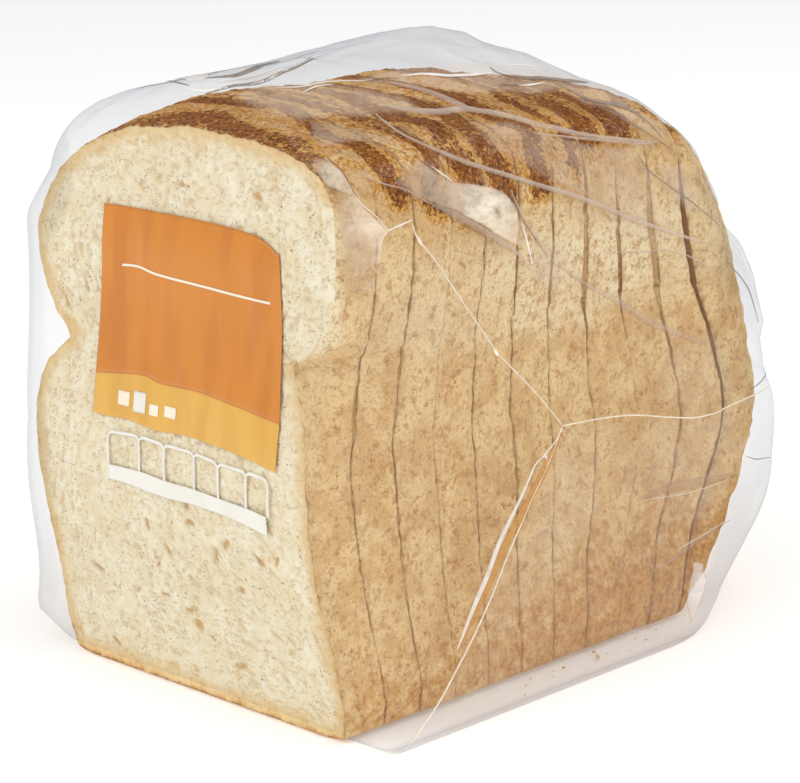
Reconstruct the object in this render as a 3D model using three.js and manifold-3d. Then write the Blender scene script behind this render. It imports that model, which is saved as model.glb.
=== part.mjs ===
// A sliced loaf in a clear film bag, standing on the loaf's flat base: the outer shape of the bag.
// Millimetres, +Z up. The bag's printed end faces -Y, and the loaf runs back along +Y.
import * as THREE from "three";
import { mergeVertices } from "three/addons/utils/BufferGeometryUtils.js";
import Module from "manifold-3d";

// Loaf sizes that the film follows
const LOAF_HEIGHT = 131;
const FRONT_BULGE = 7;
const BULGE_HEIGHT = 52;
const BULGE_SPREAD = 32;
const FRONT_TOP_LEAN = 4;

// How far the film stands off the loaf
const FRONT_SLACK = 1.5;
const BACK_SLACK = 3;
const TOP_SLACK = 1.5;

// The film's sides: half widths at the base, at the side fold and at the lobes.
// On the left the film stands further off the loaf's lobes.
const BASE_HALF_WIDTH = 60.5;
const FOLD_HALF_WIDTH = 53;
const LOBE_HALF_WIDTH = 52.5;
const LEFT_LOBE_HALF_WIDTH = 57;
const FOLD_HEIGHT = 58;
const LOBE_HEIGHT = 106;
const SHOULDER_HEIGHT = 117;
const SHOULDER_HALF_WIDTH = 49.5;

// The rounded back end
const END_DEPTH = 146;
const END_CENTRE_HEIGHT = 52;
const END_UNDERCUT = 36;
const END_UNDERCUT_POWER = 2.2;
const END_TOP_DROP = 31;
const END_TOP_POWER = 4;
const END_START = 0.74;
const END_ROUNDNESS = 4.5;
const END_TOP_ROUNDNESS = 2.1;

// The tent of slack film over the loaf: its ridge runs back and a little to the left
const TENT_FRONT = 9;
const TENT_PEAK = 10.5;
const TENT_PEAK_DEPTH = 76;
const TENT_END_DEPTH = 108;
const RIDGE_FRONT_X = 10;
const RIDGE_SLOPE = -0.12;

// Pleats that run beside the ridge, counted in top steps from the right shoulder
const PLEAT_STEPS = [5, 9, 12, 18];
const PLEAT_RISE = 1.4;

// The rounded edge between the front panel and the sides
const EDGE_RADIUS = 4.5;
const EDGE_SCALE = 0.985;
const PANEL_RINGS = [0.3, 0.6, 0.82, 0.93];

// The side weld: a Y of three raised bars on the right side
const WELD_WIDTH = 3.2;
const WELD_THICKNESS = 2.4;
const WELD_CENTRE = [FOLD_HALF_WIDTH, 64, FOLD_HEIGHT];
const WELD_ENDS = [
  [LOBE_HALF_WIDTH, 20, 109],
  [BASE_HALF_WIDTH - 1.6, 15, 12],
  [FOLD_HALF_WIDTH, 106, 54],
];

// Grid steps
const BASE_STEPS = 10;
const SIDE_STEPS = 14;
const TOP_STEPS = 28;
const BODY_ROWS = 24;
const END_ROWS = 8;

const lerp = THREE.MathUtils.lerp;
const clamp = THREE.MathUtils.clamp;
const smoothstep = THREE.MathUtils.smoothstep;

// Front of the film at a height: the slices bulge at mid height and lean back at the top
function frontDepth(z) {
  const bulge = FRONT_BULGE * Math.exp(-(((z - BULGE_HEIGHT) / BULGE_SPREAD) ** 2));
  return FRONT_TOP_LEAN * smoothstep(z, 100, LOAF_HEIGHT) - bulge - FRONT_SLACK;
}

// Back of the film at a height: undercut towards the base, and sloping in at the top
function backDepth(z) {
  const below = clamp(1 - z / END_CENTRE_HEIGHT, 0, 1) ** END_UNDERCUT_POWER;
  const above = clamp((z - END_CENTRE_HEIGHT) / (LOAF_HEIGHT - END_CENTRE_HEIGHT), 0, 1) ** END_TOP_POWER;
  return END_DEPTH - END_UNDERCUT * below - END_TOP_DROP * above + BACK_SLACK;
}

// Half width of one of the film's sides at a height, straight between its named heights
function sideHalfWidth(z, lobeHalfWidth) {
  if (z < FOLD_HEIGHT) return lerp(BASE_HALF_WIDTH, FOLD_HALF_WIDTH, z / FOLD_HEIGHT);
  if (z < LOBE_HEIGHT) {
    return lerp(FOLD_HALF_WIDTH, lobeHalfWidth, (z - FOLD_HEIGHT) / (LOBE_HEIGHT - FOLD_HEIGHT));
  }
  return lerp(lobeHalfWidth, SHOULDER_HALF_WIDTH, (z - LOBE_HEIGHT) / (SHOULDER_HEIGHT - LOBE_HEIGHT));
}

// Height of the slack tent over the loaf at a depth
function tentHeight(y) {
  if (y < TENT_PEAK_DEPTH) return lerp(TENT_FRONT, TENT_PEAK, clamp(y / TENT_PEAK_DEPTH, 0, 1));
  return lerp(TENT_PEAK, 0, clamp((y - TENT_PEAK_DEPTH) / (TENT_END_DEPTH - TENT_PEAK_DEPTH), 0, 1));
}

// A point of the film's top at a turn from 0, the right shoulder, to pi, the left one:
// the loaf's dome, and on it the tent, whose sides are straight from its ridge to the shoulders
function topPoint(step, y) {
  const turn = (Math.PI * step) / TOP_STEPS;
  const ridgeX = RIDGE_FRONT_X + RIDGE_SLOPE * clamp(y, 0, TENT_PEAK_DEPTH);
  const x = SHOULDER_HALF_WIDTH * Math.cos(turn) + ridgeX * Math.sin(turn) ** 2;
  const across = clamp(Math.abs(x) / SHOULDER_HALF_WIDTH, 0, 1);
  const dome = (LOAF_HEIGHT + TOP_SLACK - SHOULDER_HEIGHT) * (1 - across ** 3) ** (1 / 2.2);
  const reach = SHOULDER_HALF_WIDTH - Math.sign(x - ridgeX) * ridgeX;
  const tent = tentHeight(y) * clamp(1 - Math.abs(x - ridgeX) / reach, 0, 1);
  const pleat = PLEAT_STEPS.includes(step) ? PLEAT_RISE : 0;
  return [x, SHOULDER_HEIGHT + dome + tent + pleat];
}

// The bag's closed outline at a depth, as [x, z] along the base, up the right side,
// over the top and down the left side
function outline(y) {
  const points = [];
  for (let i = 0; i < BASE_STEPS; i += 1) {
    points.push([lerp(-BASE_HALF_WIDTH, BASE_HALF_WIDTH, i / BASE_STEPS), 0]);
  }
  for (let i = 0; i < SIDE_STEPS; i += 1) {
    const z = (SHOULDER_HEIGHT * i) / SIDE_STEPS;
    points.push([sideHalfWidth(z, LOBE_HALF_WIDTH), z]);
  }
  for (let i = 0; i < TOP_STEPS; i += 1) {
    points.push(topPoint(i, y));
  }
  for (let i = SIDE_STEPS; i > 0; i -= 1) {
    const z = (SHOULDER_HEIGHT * i) / SIDE_STEPS;
    points.push([-sideHalfWidth(z, LEFT_LOBE_HALF_WIDTH), z]);
  }
  return points;
}

// A ring of the outline at a share of the depth, scaled about the end's centre
// by a number that may depend on the height
function ring(scaleAt, share, edge) {
  const y = lerp(frontDepth(LOAF_HEIGHT), backDepth(LOAF_HEIGHT), share);
  return outline(y).map(([x, fullZ]) => {
    const scale = scaleAt(fullZ);
    const z = END_CENTRE_HEIGHT + (fullZ - END_CENTRE_HEIGHT) * scale;
    return [x * scale, lerp(frontDepth(z) + edge, backDepth(z), share), z];
  });
}

// The end's rounding: a superellipse that is nearly square low down and round at the top
function endScale(turnShare, z) {
  const power = lerp(END_ROUNDNESS, END_TOP_ROUNDNESS, smoothstep(z, FOLD_HEIGHT, LOBE_HEIGHT));
  return (1 - turnShare ** power) ** (1 / power);
}

// The film's closed surface: the front panel, the long body and the rounded end
function bagGeometry() {
  const rings = PANEL_RINGS.map((scale) => ring(() => scale, 0, 0));
  rings.push(ring(() => EDGE_SCALE, 0, EDGE_RADIUS / 4));
  for (let i = 0; i < BODY_ROWS; i += 1) {
    rings.push(ring(() => 1, (END_START * i) / BODY_ROWS, EDGE_RADIUS));
  }
  for (let i = 0; i < END_ROWS; i += 1) {
    const turnShare = Math.sin((Math.PI / 2) * (i / END_ROWS)) ** (2 / END_ROUNDNESS);
    const share = lerp(END_START, 1, turnShare);
    rings.push(ring((z) => endScale(turnShare, z), share, EDGE_RADIUS));
  }
  const count = rings[0].length;
  const positions = rings.flat(2);
  positions.push(0, frontDepth(END_CENTRE_HEIGHT), END_CENTRE_HEIGHT);
  positions.push(0, backDepth(END_CENTRE_HEIGHT), END_CENTRE_HEIGHT);
  const frontPole = rings.length * count;
  const backPole = frontPole + 1;
  const faces = [];
  for (let i = 0; i < count; i += 1) {
    const next = (i + 1) % count;
    faces.push(frontPole, i, next);
    for (let r = 0; r + 1 < rings.length; r += 1) {
      const here = r * count;
      const beyond = here + count;
      faces.push(here + i, beyond + i, beyond + next);
      faces.push(here + i, beyond + next, here + next);
    }
    const last = (rings.length - 1) * count;
    faces.push(backPole, last + next, last + i);
  }
  const geometry = new THREE.BufferGeometry();
  geometry.setAttribute("position", new THREE.Float32BufferAttribute(positions, 3));
  geometry.setIndex(faces);
  return geometry;
}

// A straight raised bar between two points of the side, half sunk in the film
function weldBar(from, to) {
  const start = new THREE.Vector3(...from);
  const end = new THREE.Vector3(...to);
  const along = end.clone().sub(start);
  const bar = new THREE.BoxGeometry(along.length() + WELD_WIDTH, WELD_WIDTH, WELD_THICKNESS);
  const lengthAxis = along.normalize();
  const outward = new THREE.Vector3(1, 0, 0).addScaledVector(lengthAxis, -lengthAxis.x).normalize();
  const widthAxis = new THREE.Vector3().crossVectors(outward, lengthAxis);
  const middle = start.add(end).multiplyScalar(0.5);
  bar.applyMatrix4(new THREE.Matrix4().makeBasis(lengthAxis, widthAxis, outward).setPosition(middle));
  return bar;
}

const wasm = await Module();
wasm.setup();

// A manifold solid from a closed geometry, for joining
function toSolid(geometry) {
  const bare = geometry.clone();
  bare.deleteAttribute("normal");
  bare.deleteAttribute("uv");
  const merged = mergeVertices(bare, 1e-4);
  return new wasm.Manifold(new wasm.Mesh({
    numProp: 3,
    vertProperties: new Float32Array(merged.attributes.position.array),
    triVerts: new Uint32Array(merged.index.array),
  }));
}

// A three.js geometry from a manifold solid
function toGeometry(solid) {
  const mesh = solid.getMesh();
  const geometry = new THREE.BufferGeometry();
  geometry.setAttribute("position", new THREE.BufferAttribute(mesh.vertProperties, 3));
  geometry.setIndex(new THREE.BufferAttribute(mesh.triVerts, 1));
  return geometry;
}

let bagSolid = toSolid(bagGeometry());
for (const end of WELD_ENDS) {
  bagSolid = bagSolid.add(toSolid(weldBar(WELD_CENTRE, end)));
}
const bag = toGeometry(bagSolid);

// The origin is the middle of the base of the bag's box
bag.computeBoundingBox();
const middle = bag.boundingBox.getCenter(new THREE.Vector3());
bag.translate(-middle.x, -middle.y, -bag.boundingBox.min.z);
bag.computeVertexNormals();

const film = new THREE.MeshStandardMaterial({ color: 0xd9a566, roughness: 0.35, metalness: 0 });
const breadBag = new THREE.Mesh(bag, film);
breadBag.name = "bread_bag";

const group = new THREE.Group();
group.add(breadBag);

export default group;
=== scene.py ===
# %% [markdown]
# # Half a sliced loaf in a clear film bag
#
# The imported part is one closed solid, the outer shape of the bag. This script keeps that
# shape and replaces the solid with the real thing: a thin film with folds, a weld and print
# on it, and inside it ten slices and the heel of the loaf. Every length below is in
# millimetres, because that is how bread and film are measured; a mesh is turned into metres
# at the moment it is made.

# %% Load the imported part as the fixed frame
import itertools
import math

import bpy
import numpy as np
from mathutils import Matrix, Vector


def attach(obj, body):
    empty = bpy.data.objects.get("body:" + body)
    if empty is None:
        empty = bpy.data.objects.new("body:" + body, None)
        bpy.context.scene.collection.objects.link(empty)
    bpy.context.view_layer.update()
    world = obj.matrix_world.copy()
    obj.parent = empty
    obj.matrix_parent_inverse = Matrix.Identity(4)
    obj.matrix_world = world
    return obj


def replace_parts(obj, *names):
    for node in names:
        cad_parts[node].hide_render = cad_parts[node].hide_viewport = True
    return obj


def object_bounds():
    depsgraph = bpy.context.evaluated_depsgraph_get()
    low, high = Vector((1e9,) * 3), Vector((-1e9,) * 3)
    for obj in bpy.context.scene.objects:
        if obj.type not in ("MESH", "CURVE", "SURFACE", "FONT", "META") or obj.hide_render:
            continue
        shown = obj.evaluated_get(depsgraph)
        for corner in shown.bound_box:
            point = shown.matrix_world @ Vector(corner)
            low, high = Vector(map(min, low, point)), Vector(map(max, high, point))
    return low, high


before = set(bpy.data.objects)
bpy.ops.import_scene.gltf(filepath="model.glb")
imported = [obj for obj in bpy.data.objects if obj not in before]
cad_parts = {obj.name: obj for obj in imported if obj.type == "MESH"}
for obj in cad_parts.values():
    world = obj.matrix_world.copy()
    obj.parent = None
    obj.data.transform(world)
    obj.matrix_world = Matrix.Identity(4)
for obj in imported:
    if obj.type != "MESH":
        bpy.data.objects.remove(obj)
cad_low, cad_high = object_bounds()
MM = 0.001
print("part box in mm:", [round(v / MM, 2) for v in (*cad_low, *cad_high)])

# %% [markdown]
# ## The shape's driving sizes
#
# A sliced loaf isn't a block. The slices bulge forward at mid height and lean back at the
# top, and the film follows them. The same few numbers drive the bag's solid, so the film
# made here lies exactly where the part's surface is. Depths are counted from the front
# slice's foot; one shift along Y carries them into the part's frame.

# %% Sizes of the loaf and of the film
LOAF_HEIGHT = 131.0
FRONT_BULGE = 7.0
BULGE_HEIGHT = 52.0
BULGE_SPREAD = 32.0
FRONT_TOP_LEAN = 4.0
FRONT_SLACK = 1.5
BACK_SLACK = 3.0
TOP_SLACK = 1.5
BASE_HALF_WIDTH = 60.5
FOLD_HALF_WIDTH = 53.0
LOBE_HALF_WIDTH = 52.5
LEFT_LOBE_HALF_WIDTH = 57.0
FOLD_HEIGHT = 58.0
LOBE_HEIGHT = 106.0
SHOULDER_HEIGHT = 117.0
SHOULDER_HALF_WIDTH = 49.5
END_DEPTH = 146.0
END_CENTRE_HEIGHT = 52.0
END_START = 0.74
END_ROUNDNESS = 4.5
END_TOP_ROUNDNESS = 2.1
EDGE_RADIUS = 4.5


def smooth(value, low, high):
    """0 below low, 1 above high, and the soft S curve 3t^2 - 2t^3 between them."""
    t = np.clip((value - low) / (high - low), 0.0, 1.0)
    return t * t * (3.0 - 2.0 * t)


def blend(a, b, share):
    """The value that lies the given share of the way from a to b."""
    return a + (b - a) * share


def bulge(z):
    """A bell curve over the height, 1 at the loaf's fullest height."""
    return np.exp(-(((z - BULGE_HEIGHT) / BULGE_SPREAD) ** 2))


def bread_front(z):
    """Depth of the front slice's face: forward by the bulge, back where the top leans."""
    return FRONT_TOP_LEAN * smooth(z, 100.0, LOAF_HEIGHT) - FRONT_BULGE * bulge(z)


def bread_back(z):
    """Depth of the heel's back: undercut towards the base, sloping in towards the top."""
    below = np.clip(1.0 - z / END_CENTRE_HEIGHT, 0.0, 1.0) ** 2.2
    above = np.clip((z - END_CENTRE_HEIGHT) / (LOAF_HEIGHT - END_CENTRE_HEIGHT), 0.0, 1.0) ** 4
    return END_DEPTH - 36.0 * below - 31.0 * above


FILM_NEAREST = float(bread_front(BULGE_HEIGHT)) - FRONT_SLACK
SHIFT = np.array([0.0, cad_low.y / MM - FILM_NEAREST, 0.0])
print("shift from loaf depth to the frame, mm:", SHIFT.round(2))

# %% [markdown]
# ## The camera
#
# The camera was fitted to the loaf's straight edges: the foot of the slices, the upright
# edges and the print. It comes first here, because a few things, such as the folds in the
# film, are placed where they show in the picture. They are carried onto the film's surface
# by the same camera, so they sit on it from every side.

# %% Camera at the photograph's viewing angle
IMAGE_WIDTH = 800
IMAGE_HEIGHT = 783
CAMERA_AZIMUTH = math.radians(46.5)
CAMERA_ELEVATION = math.radians(14.9)
CAMERA_ROLL = math.radians(-2.0)
CAMERA_DISTANCE = 690.7
FOCAL_PIXELS = 3000.0
CAMERA_AIM = np.array([14.4, 50.0, 62.7]) + SHIFT

cam_back = np.array([
    math.sin(CAMERA_AZIMUTH) * math.cos(CAMERA_ELEVATION),
    -math.cos(CAMERA_AZIMUTH) * math.cos(CAMERA_ELEVATION),
    math.sin(CAMERA_ELEVATION),
])
level_right = np.array([math.cos(CAMERA_AZIMUTH), math.sin(CAMERA_AZIMUTH), 0.0])
level_up = np.cross(cam_back, level_right)
cam_right = level_right * math.cos(CAMERA_ROLL) + level_up * math.sin(CAMERA_ROLL)
cam_up = level_up * math.cos(CAMERA_ROLL) - level_right * math.sin(CAMERA_ROLL)
cam_place = CAMERA_AIM + cam_back * CAMERA_DISTANCE

camera_data = bpy.data.cameras.new("camera")
camera_data.sensor_width = 36.0
camera_data.lens = FOCAL_PIXELS / IMAGE_WIDTH * camera_data.sensor_width
camera = bpy.data.objects.new("camera", camera_data)
bpy.context.scene.collection.objects.link(camera)
turn = Matrix((cam_right, cam_up, cam_back)).transposed().to_4x4()
camera.matrix_world = Matrix.Translation(Vector(cam_place * MM)) @ turn
bpy.context.scene.camera = camera
print("camera", round(camera_data.lens, 1), "mm lens at", camera.location)


def project(points):
    """Photo pixels of points: sideways and upward shares of the depth, times the focal length."""
    offset = points - cam_place
    depth = -(offset @ cam_back)
    across = IMAGE_WIDTH / 2 + FOCAL_PIXELS * (offset @ cam_right) / depth
    down = IMAGE_HEIGHT / 2 - FOCAL_PIXELS * (offset @ cam_up) / depth
    return np.stack([across, down], axis=-1)


# %% [markdown]
# ## Noise as plain arrays
#
# Bread and crumpled film are irregular, yet the script has to give the same mesh on each
# run. So all chance comes from one scrambling formula: whole numbers in, a number from -1
# to 1 out. Three patterns are built on it: a soft cloud, scattered dots, which make the
# crumb's pores, and flat facets with sharp edges between them, which is how film creases.

# %% Soft noise, scattered dots and facets
SCRAMBLE = np.array([73856093, 19349663, 83492791])


def scatter(cells, seed):
    """A random number from -1 to 1 for each cell, given as whole numbers along the last axis."""
    mixed = (cells * SCRAMBLE[: cells.shape[-1]]).sum(-1) + seed * 960493
    mixed = (mixed ^ (mixed >> 13)) * 1274126177
    mixed = mixed ^ (mixed >> 16)
    return (mixed & 0xFFFF) / 32767.5 - 1.0


def cloud(points, size, seed):
    """Soft noise from -1 to 1: random corner values of cubes of one size, blended smoothly."""
    scaled = points / size
    base = np.floor(scaled).astype(np.int64)
    part = scaled - base
    part = part * part * (3.0 - 2.0 * part)
    total = np.zeros(points.shape[:-1])
    for corner in itertools.product((0, 1), repeat=points.shape[-1]):
        corner = np.array(corner)
        weight = np.prod(np.where(corner == 1, part, 1.0 - part), axis=-1)
        total += weight * scatter(base + corner, seed)
    return total


def dots(points, size, seed):
    """Distance in cell widths to the nearest of scattered dots, one a square, and its tag."""
    scaled = points / size
    base = np.floor(scaled).astype(np.int64)
    nearest = np.full(points.shape[:-1], 9.0)
    tag = np.zeros(points.shape[:-1])
    for step in itertools.product((-1, 0, 1), repeat=2):
        cell = base + np.array(step)
        jitter = np.stack([scatter(cell, seed), scatter(cell, seed + 1)], axis=-1)
        distance = np.linalg.norm(cell + 0.5 + 0.42 * jitter - scaled, axis=-1)
        closer = distance < nearest
        nearest = np.where(closer, distance, nearest)
        tag = np.where(closer, scatter(cell, seed + 2), tag)
    return nearest, tag


def facets(points, size, seed):
    """Flat triangles with sharp edges: a plane through three random corner heights in each."""
    scaled = points / size
    skewed = scaled + scaled.sum(-1, keepdims=True) * 0.366
    base = np.floor(skewed).astype(np.int64)
    part = skewed - base
    first = np.where((part[..., :1] > part[..., 1:]), np.array([1, 0]), np.array([0, 1]))
    larger = part.max(-1)
    smaller = part.min(-1)
    height = (1.0 - larger) * scatter(base, seed)
    height += (larger - smaller) * scatter(base + first, seed)
    return height + smaller * scatter(base + 1, seed)


# %% [markdown]
# ## From arrays to meshes
#
# Each piece is a grid of points, rows by columns. When the columns close into a ring, the
# grid is a tube, and a single point at each end closes it. The two helpers below list the
# faces and hand whole arrays to the mesh, which is quick for a hundred thousand points.

# %% Faces of a grid and the mesh maker


def ring_faces(rows, columns, start_pole, end_pole):
    """Quads of a tube of rings, seen from outside when rings run back, with a fan at each end."""
    row = np.arange(rows - 1)[:, None] * columns
    here = np.arange(columns)[None, :]
    beyond = (here + 1) % columns
    quads = np.stack([row + here, row + columns + here, row + columns + beyond, row + beyond], axis=-1)
    column = np.arange(columns)
    after = (column + 1) % columns
    last = (rows - 1) * columns
    first_fan = np.stack([np.full(columns, start_pole), column, after], axis=-1)
    last_fan = np.stack([np.full(columns, end_pole), last + after, last + column], axis=-1)
    return [quads.reshape(-1, 4), first_fan, last_fan]


def sheet_faces(rows, columns):
    """Quads of an open grid."""
    row = np.arange(rows - 1)[:, None] * columns
    here = np.arange(columns - 1)[None, :]
    beyond = row + columns + here
    quads = np.stack([row + here, row + here + 1, beyond + 1, beyond], axis=-1)
    return [quads.reshape(-1, 4)]


def make_piece(name, points, face_sets, materials, marks=None, material_of=None):
    """A mesh object at the origin, from points in millimetres in the part's frame."""
    mesh = bpy.data.meshes.new(name)
    mesh.vertices.add(len(points))
    mesh.vertices.foreach_set("co", (points * MM).astype(np.float32).ravel())
    corners = np.concatenate([faces.ravel() for faces in face_sets])
    sizes = np.concatenate([np.full(len(faces), faces.shape[1]) for faces in face_sets])
    mesh.loops.add(len(corners))
    mesh.loops.foreach_set("vertex_index", corners.astype(np.int32))
    mesh.polygons.add(len(sizes))
    mesh.polygons.foreach_set("loop_start", (np.cumsum(sizes) - sizes).astype(np.int32))
    mesh.polygons.foreach_set("use_smooth", np.ones(len(sizes), dtype=bool))
    if material_of is not None:
        mesh.polygons.foreach_set("material_index", material_of.astype(np.int32))
    for material in materials:
        mesh.materials.append(material)
    mesh.update(calc_edges=True)
    for mark, values in (marks or {}).items():
        layer = mesh.attributes.new(mark, "FLOAT", "POINT")
        layer.data.foreach_set("value", values.astype(np.float32).ravel())
    piece = bpy.data.objects.new(name, mesh)
    bpy.context.scene.collection.objects.link(piece)
    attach(piece, "root")
    triangles = int((sizes - 2).sum())
    print(f"{name}: {len(points)} points, {triangles} triangles")
    return piece


# %% [markdown]
# ## Shader maths written as Python
#
# A node tree is easier to read as a formula. `Value` wraps a socket, so that `1 - mask * 2`
# adds its Math nodes. Colours are written as they look on a screen, from 0 to 255. They
# never go through Math nodes, which would turn them grey; they are mixed with `paint`, and
# a finish lists its coats of colour, from the bread's own up to the last fleck, each with
# its name. Every other node comes from the one method `node`, and the few that each finish
# needs, such as a bump or a layer of one shader on another, have short names of their own.

# %% Screen colours, the wrapped socket and the finish
WHITE = (255, 255, 255)


def linear(screen_colour):
    """A screen colour from 0 to 255 as the linear colour that shaders use."""
    shares = np.array(screen_colour) / 255.0
    light = np.where(shares <= 0.04045, shares / 12.92, ((shares + 0.055) / 1.055) ** 2.4)
    return (*light.tolist(), 1.0)


class Value:
    """One output socket of a finish, which the usual operators turn into Math nodes."""

    def __init__(self, finish, socket):
        self.finish = finish
        self.socket = socket

    def maths(self, operation, *terms):
        sockets = dict(enumerate(terms))
        return self.finish.node("ShaderNodeMath", {"operation": operation}, sockets)

    def __add__(self, other):
        return self.maths("ADD", self, other)

    __radd__ = __add__

    def __sub__(self, other):
        return self.maths("SUBTRACT", self, other)

    def __rsub__(self, other):
        return self.maths("SUBTRACT", other, self)

    def __mul__(self, other):
        return self.maths("MULTIPLY", self, other)

    __rmul__ = __mul__

    def __pow__(self, other):
        return self.maths("POWER", self, other)

    def between(self, low, high):
        """0 at low, 1 at high and a soft S curve between; low may be the larger."""
        ends = {"Value": self, "From Min": low, "From Max": high}
        return self.finish.node("ShaderNodeMapRange", {"interpolation_type": "SMOOTHSTEP"}, ends)

    def larger(self, other):
        return self.maths("MAXIMUM", self, other)


class Finish:
    """A material whose nodes are added one by one."""

    def __init__(self, name):
        self.material = bpy.data.materials.new(name)
        self.material.use_nodes = True
        self.tree = self.material.node_tree
        self.tree.nodes.clear()
        self.place = self.node("ShaderNodeTexCoord", output="Object")

    def node(self, kind, settings=None, sockets=None, output=0):
        """Adds a node: its settings first, then its sockets' values, screen colours or links."""
        made = self.tree.nodes.new(kind)
        for name, setting in (settings or {}).items():
            setattr(made, name, setting)
        for key, value in (sockets or {}).items():
            socket = made.inputs[key]
            if isinstance(value, Value):
                self.tree.links.new(value.socket, socket)
            else:
                socket.default_value = linear(value) if socket.type == "RGBA" else value
        return Value(self, made.outputs[output])

    def grain(self, size, detail=2.0, roughness=0.5, place=None, warp=0.0):
        """Noise from 0 to 1 whose blobs are about the given size in millimetres."""
        sockets = {
            "Vector": place or self.place,
            "Scale": 1.0 / (size * MM),
            "Detail": detail,
            "Roughness": roughness,
            "Distortion": warp,
        }
        return self.node("ShaderNodeTexNoise", {}, sockets)

    def stretched(self, factors):
        """The object's coordinates multiplied along each axis."""
        return self.node("ShaderNodeMapping", {}, {"Vector": self.place, "Scale": factors})

    def mark(self, name):
        """A number kept at each point of the mesh."""
        return self.node("ShaderNodeAttribute", {"attribute_name": name}, output="Fac")

    def paint(self, under, over, share):
        """One colour laid over another by a share."""
        sockets = {"Factor": share, 6: under, 7: over}
        return self.node("ShaderNodeMix", {"data_type": "RGBA"}, sockets, output=2)

    def coats(self, colour, coats):
        """Coats laid one over the other, each with its name, its colour and its share."""
        for _, over, share in coats:
            colour = self.paint(colour, over, share)
        return colour

    def bump(self, height, strength, distance):
        """A normal tilted by the slope of a height."""
        sockets = {"Strength": strength, "Distance": distance, "Height": height}
        return self.node("ShaderNodeBump", {}, sockets)

    def surface(self, colour, roughness, others):
        """A Principled shader: its colour, its roughness and whatever else differs."""
        sockets = {"Base Color": colour, "Roughness": roughness, **others}
        return self.node("ShaderNodeBsdfPrincipled", {}, sockets)

    def clear(self, colour):
        """A Transparent shader, which tints what is seen through it."""
        return self.node("ShaderNodeBsdfTransparent", {}, {"Color": colour})

    def layer(self, under, over, share):
        """One shader laid over another by a share."""
        return self.node("ShaderNodeMixShader", {}, {0: share, 1: under, 2: over})

    def output(self, shader):
        """Ends the finish with its shader and gives the material."""
        ending = self.tree.nodes.new("ShaderNodeOutputMaterial")
        self.tree.links.new(shader.socket, ending.inputs["Surface"])
        print(f"finish {self.material.name}: {len(self.tree.nodes)} nodes")
        return self.material


# %% [markdown]
# ## The crumb
#
# A cut slice is cream with tan, lens-shaped pores, brown flecks of bran and a golden rim.
# The large pores are real hollows in the mesh, and their depth is kept as a mark on each
# point, so the colour deepens exactly where the hollow is: painted shade in the hollows.
# The finest pores are too small for a mesh and come from noise in the finish, as darker
# specks of the same painted shade.

# %% Crumb finish
BREAD_GLOSS = 0.2


def crumb_finish():
    """Cream with painted shade in its fine and deep pores and in cuts, golden by the rim, with bran flecks.
    """
    f = Finish("crumb")
    pore = f.mark("pore")
    rim = f.mark("rim")
    cream = f.paint((243, 229, 196), (249, 241, 216), f.grain(2.6, 4.0, 0.6).between(0.42, 0.62))
    flattened = f.stretched((1.0, 1.0, 1.5))
    fine = f.grain(1.7, 5.0, 0.72, flattened, warp=0.5).between(0.555, 0.605)
    bran = f.grain(0.75, 2.0, 0.6, flattened).between(0.62, 0.68) * f.grain(5.0, 1.0).between(0.4, 0.56)
    ragged = rim + (f.grain(1.1, 3.0, 0.6) - 0.5) * 4.5 + (f.grain(7.0, 2.0) - 0.5) * 5.0
    colour = f.coats(cream, [
        ("denser crumb", (238, 219, 178), f.grain(8.0, 3.0).between(0.42, 0.62) * 0.45),
        # painted shade: darker in the pores, by noise for the finest ones and by the hollows' depth
        ("finest pores", (216, 187, 140), fine * 0.6),
        ("shallow hollows", (214, 184, 136), pore.between(0.1, 0.8) * 0.55),
        ("deep hollows", (202, 160, 102), pore.between(0.85, 1.25) * 0.75),
        ("bran", (150, 108, 66), bran * 0.8),
        ("golden rim", (228, 192, 130), ragged.between(5.6, 0.2) * 0.75),
        ("baked rim", (208, 158, 94), ragged.between(0.8, -1.2) * 0.6),
        # painted shade of the cut: dark brown on faces hidden between slices and on the heel's front face
        ("shade in a cut", (152, 106, 66), (ragged * 0.4 + rim * 0.6).between(-0.5, -1.6)),
    ])
    bump = f.bump(f.grain(0.9, 3.0, 0.6) - fine * 0.5, 0.4, 0.5 * MM)
    return f.output(f.surface(colour, 0.85, {"Normal": bump, "Specular IOR Level": BREAD_GLOSS}))


crumb = crumb_finish()

# %% [markdown]
# ## The crust
#
# Baked in a tin, the sides are tan with a fine brown mottle, and only the top, which rose
# above the tin, went dark brown. On each slice the dark top is patchy: golden where the
# crust tore or was dusted. Marks kept on the mesh say how dark, how pale and how close to
# a cut edge each point is, and noise breaks up their borders.

# %% Crust finish


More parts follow.
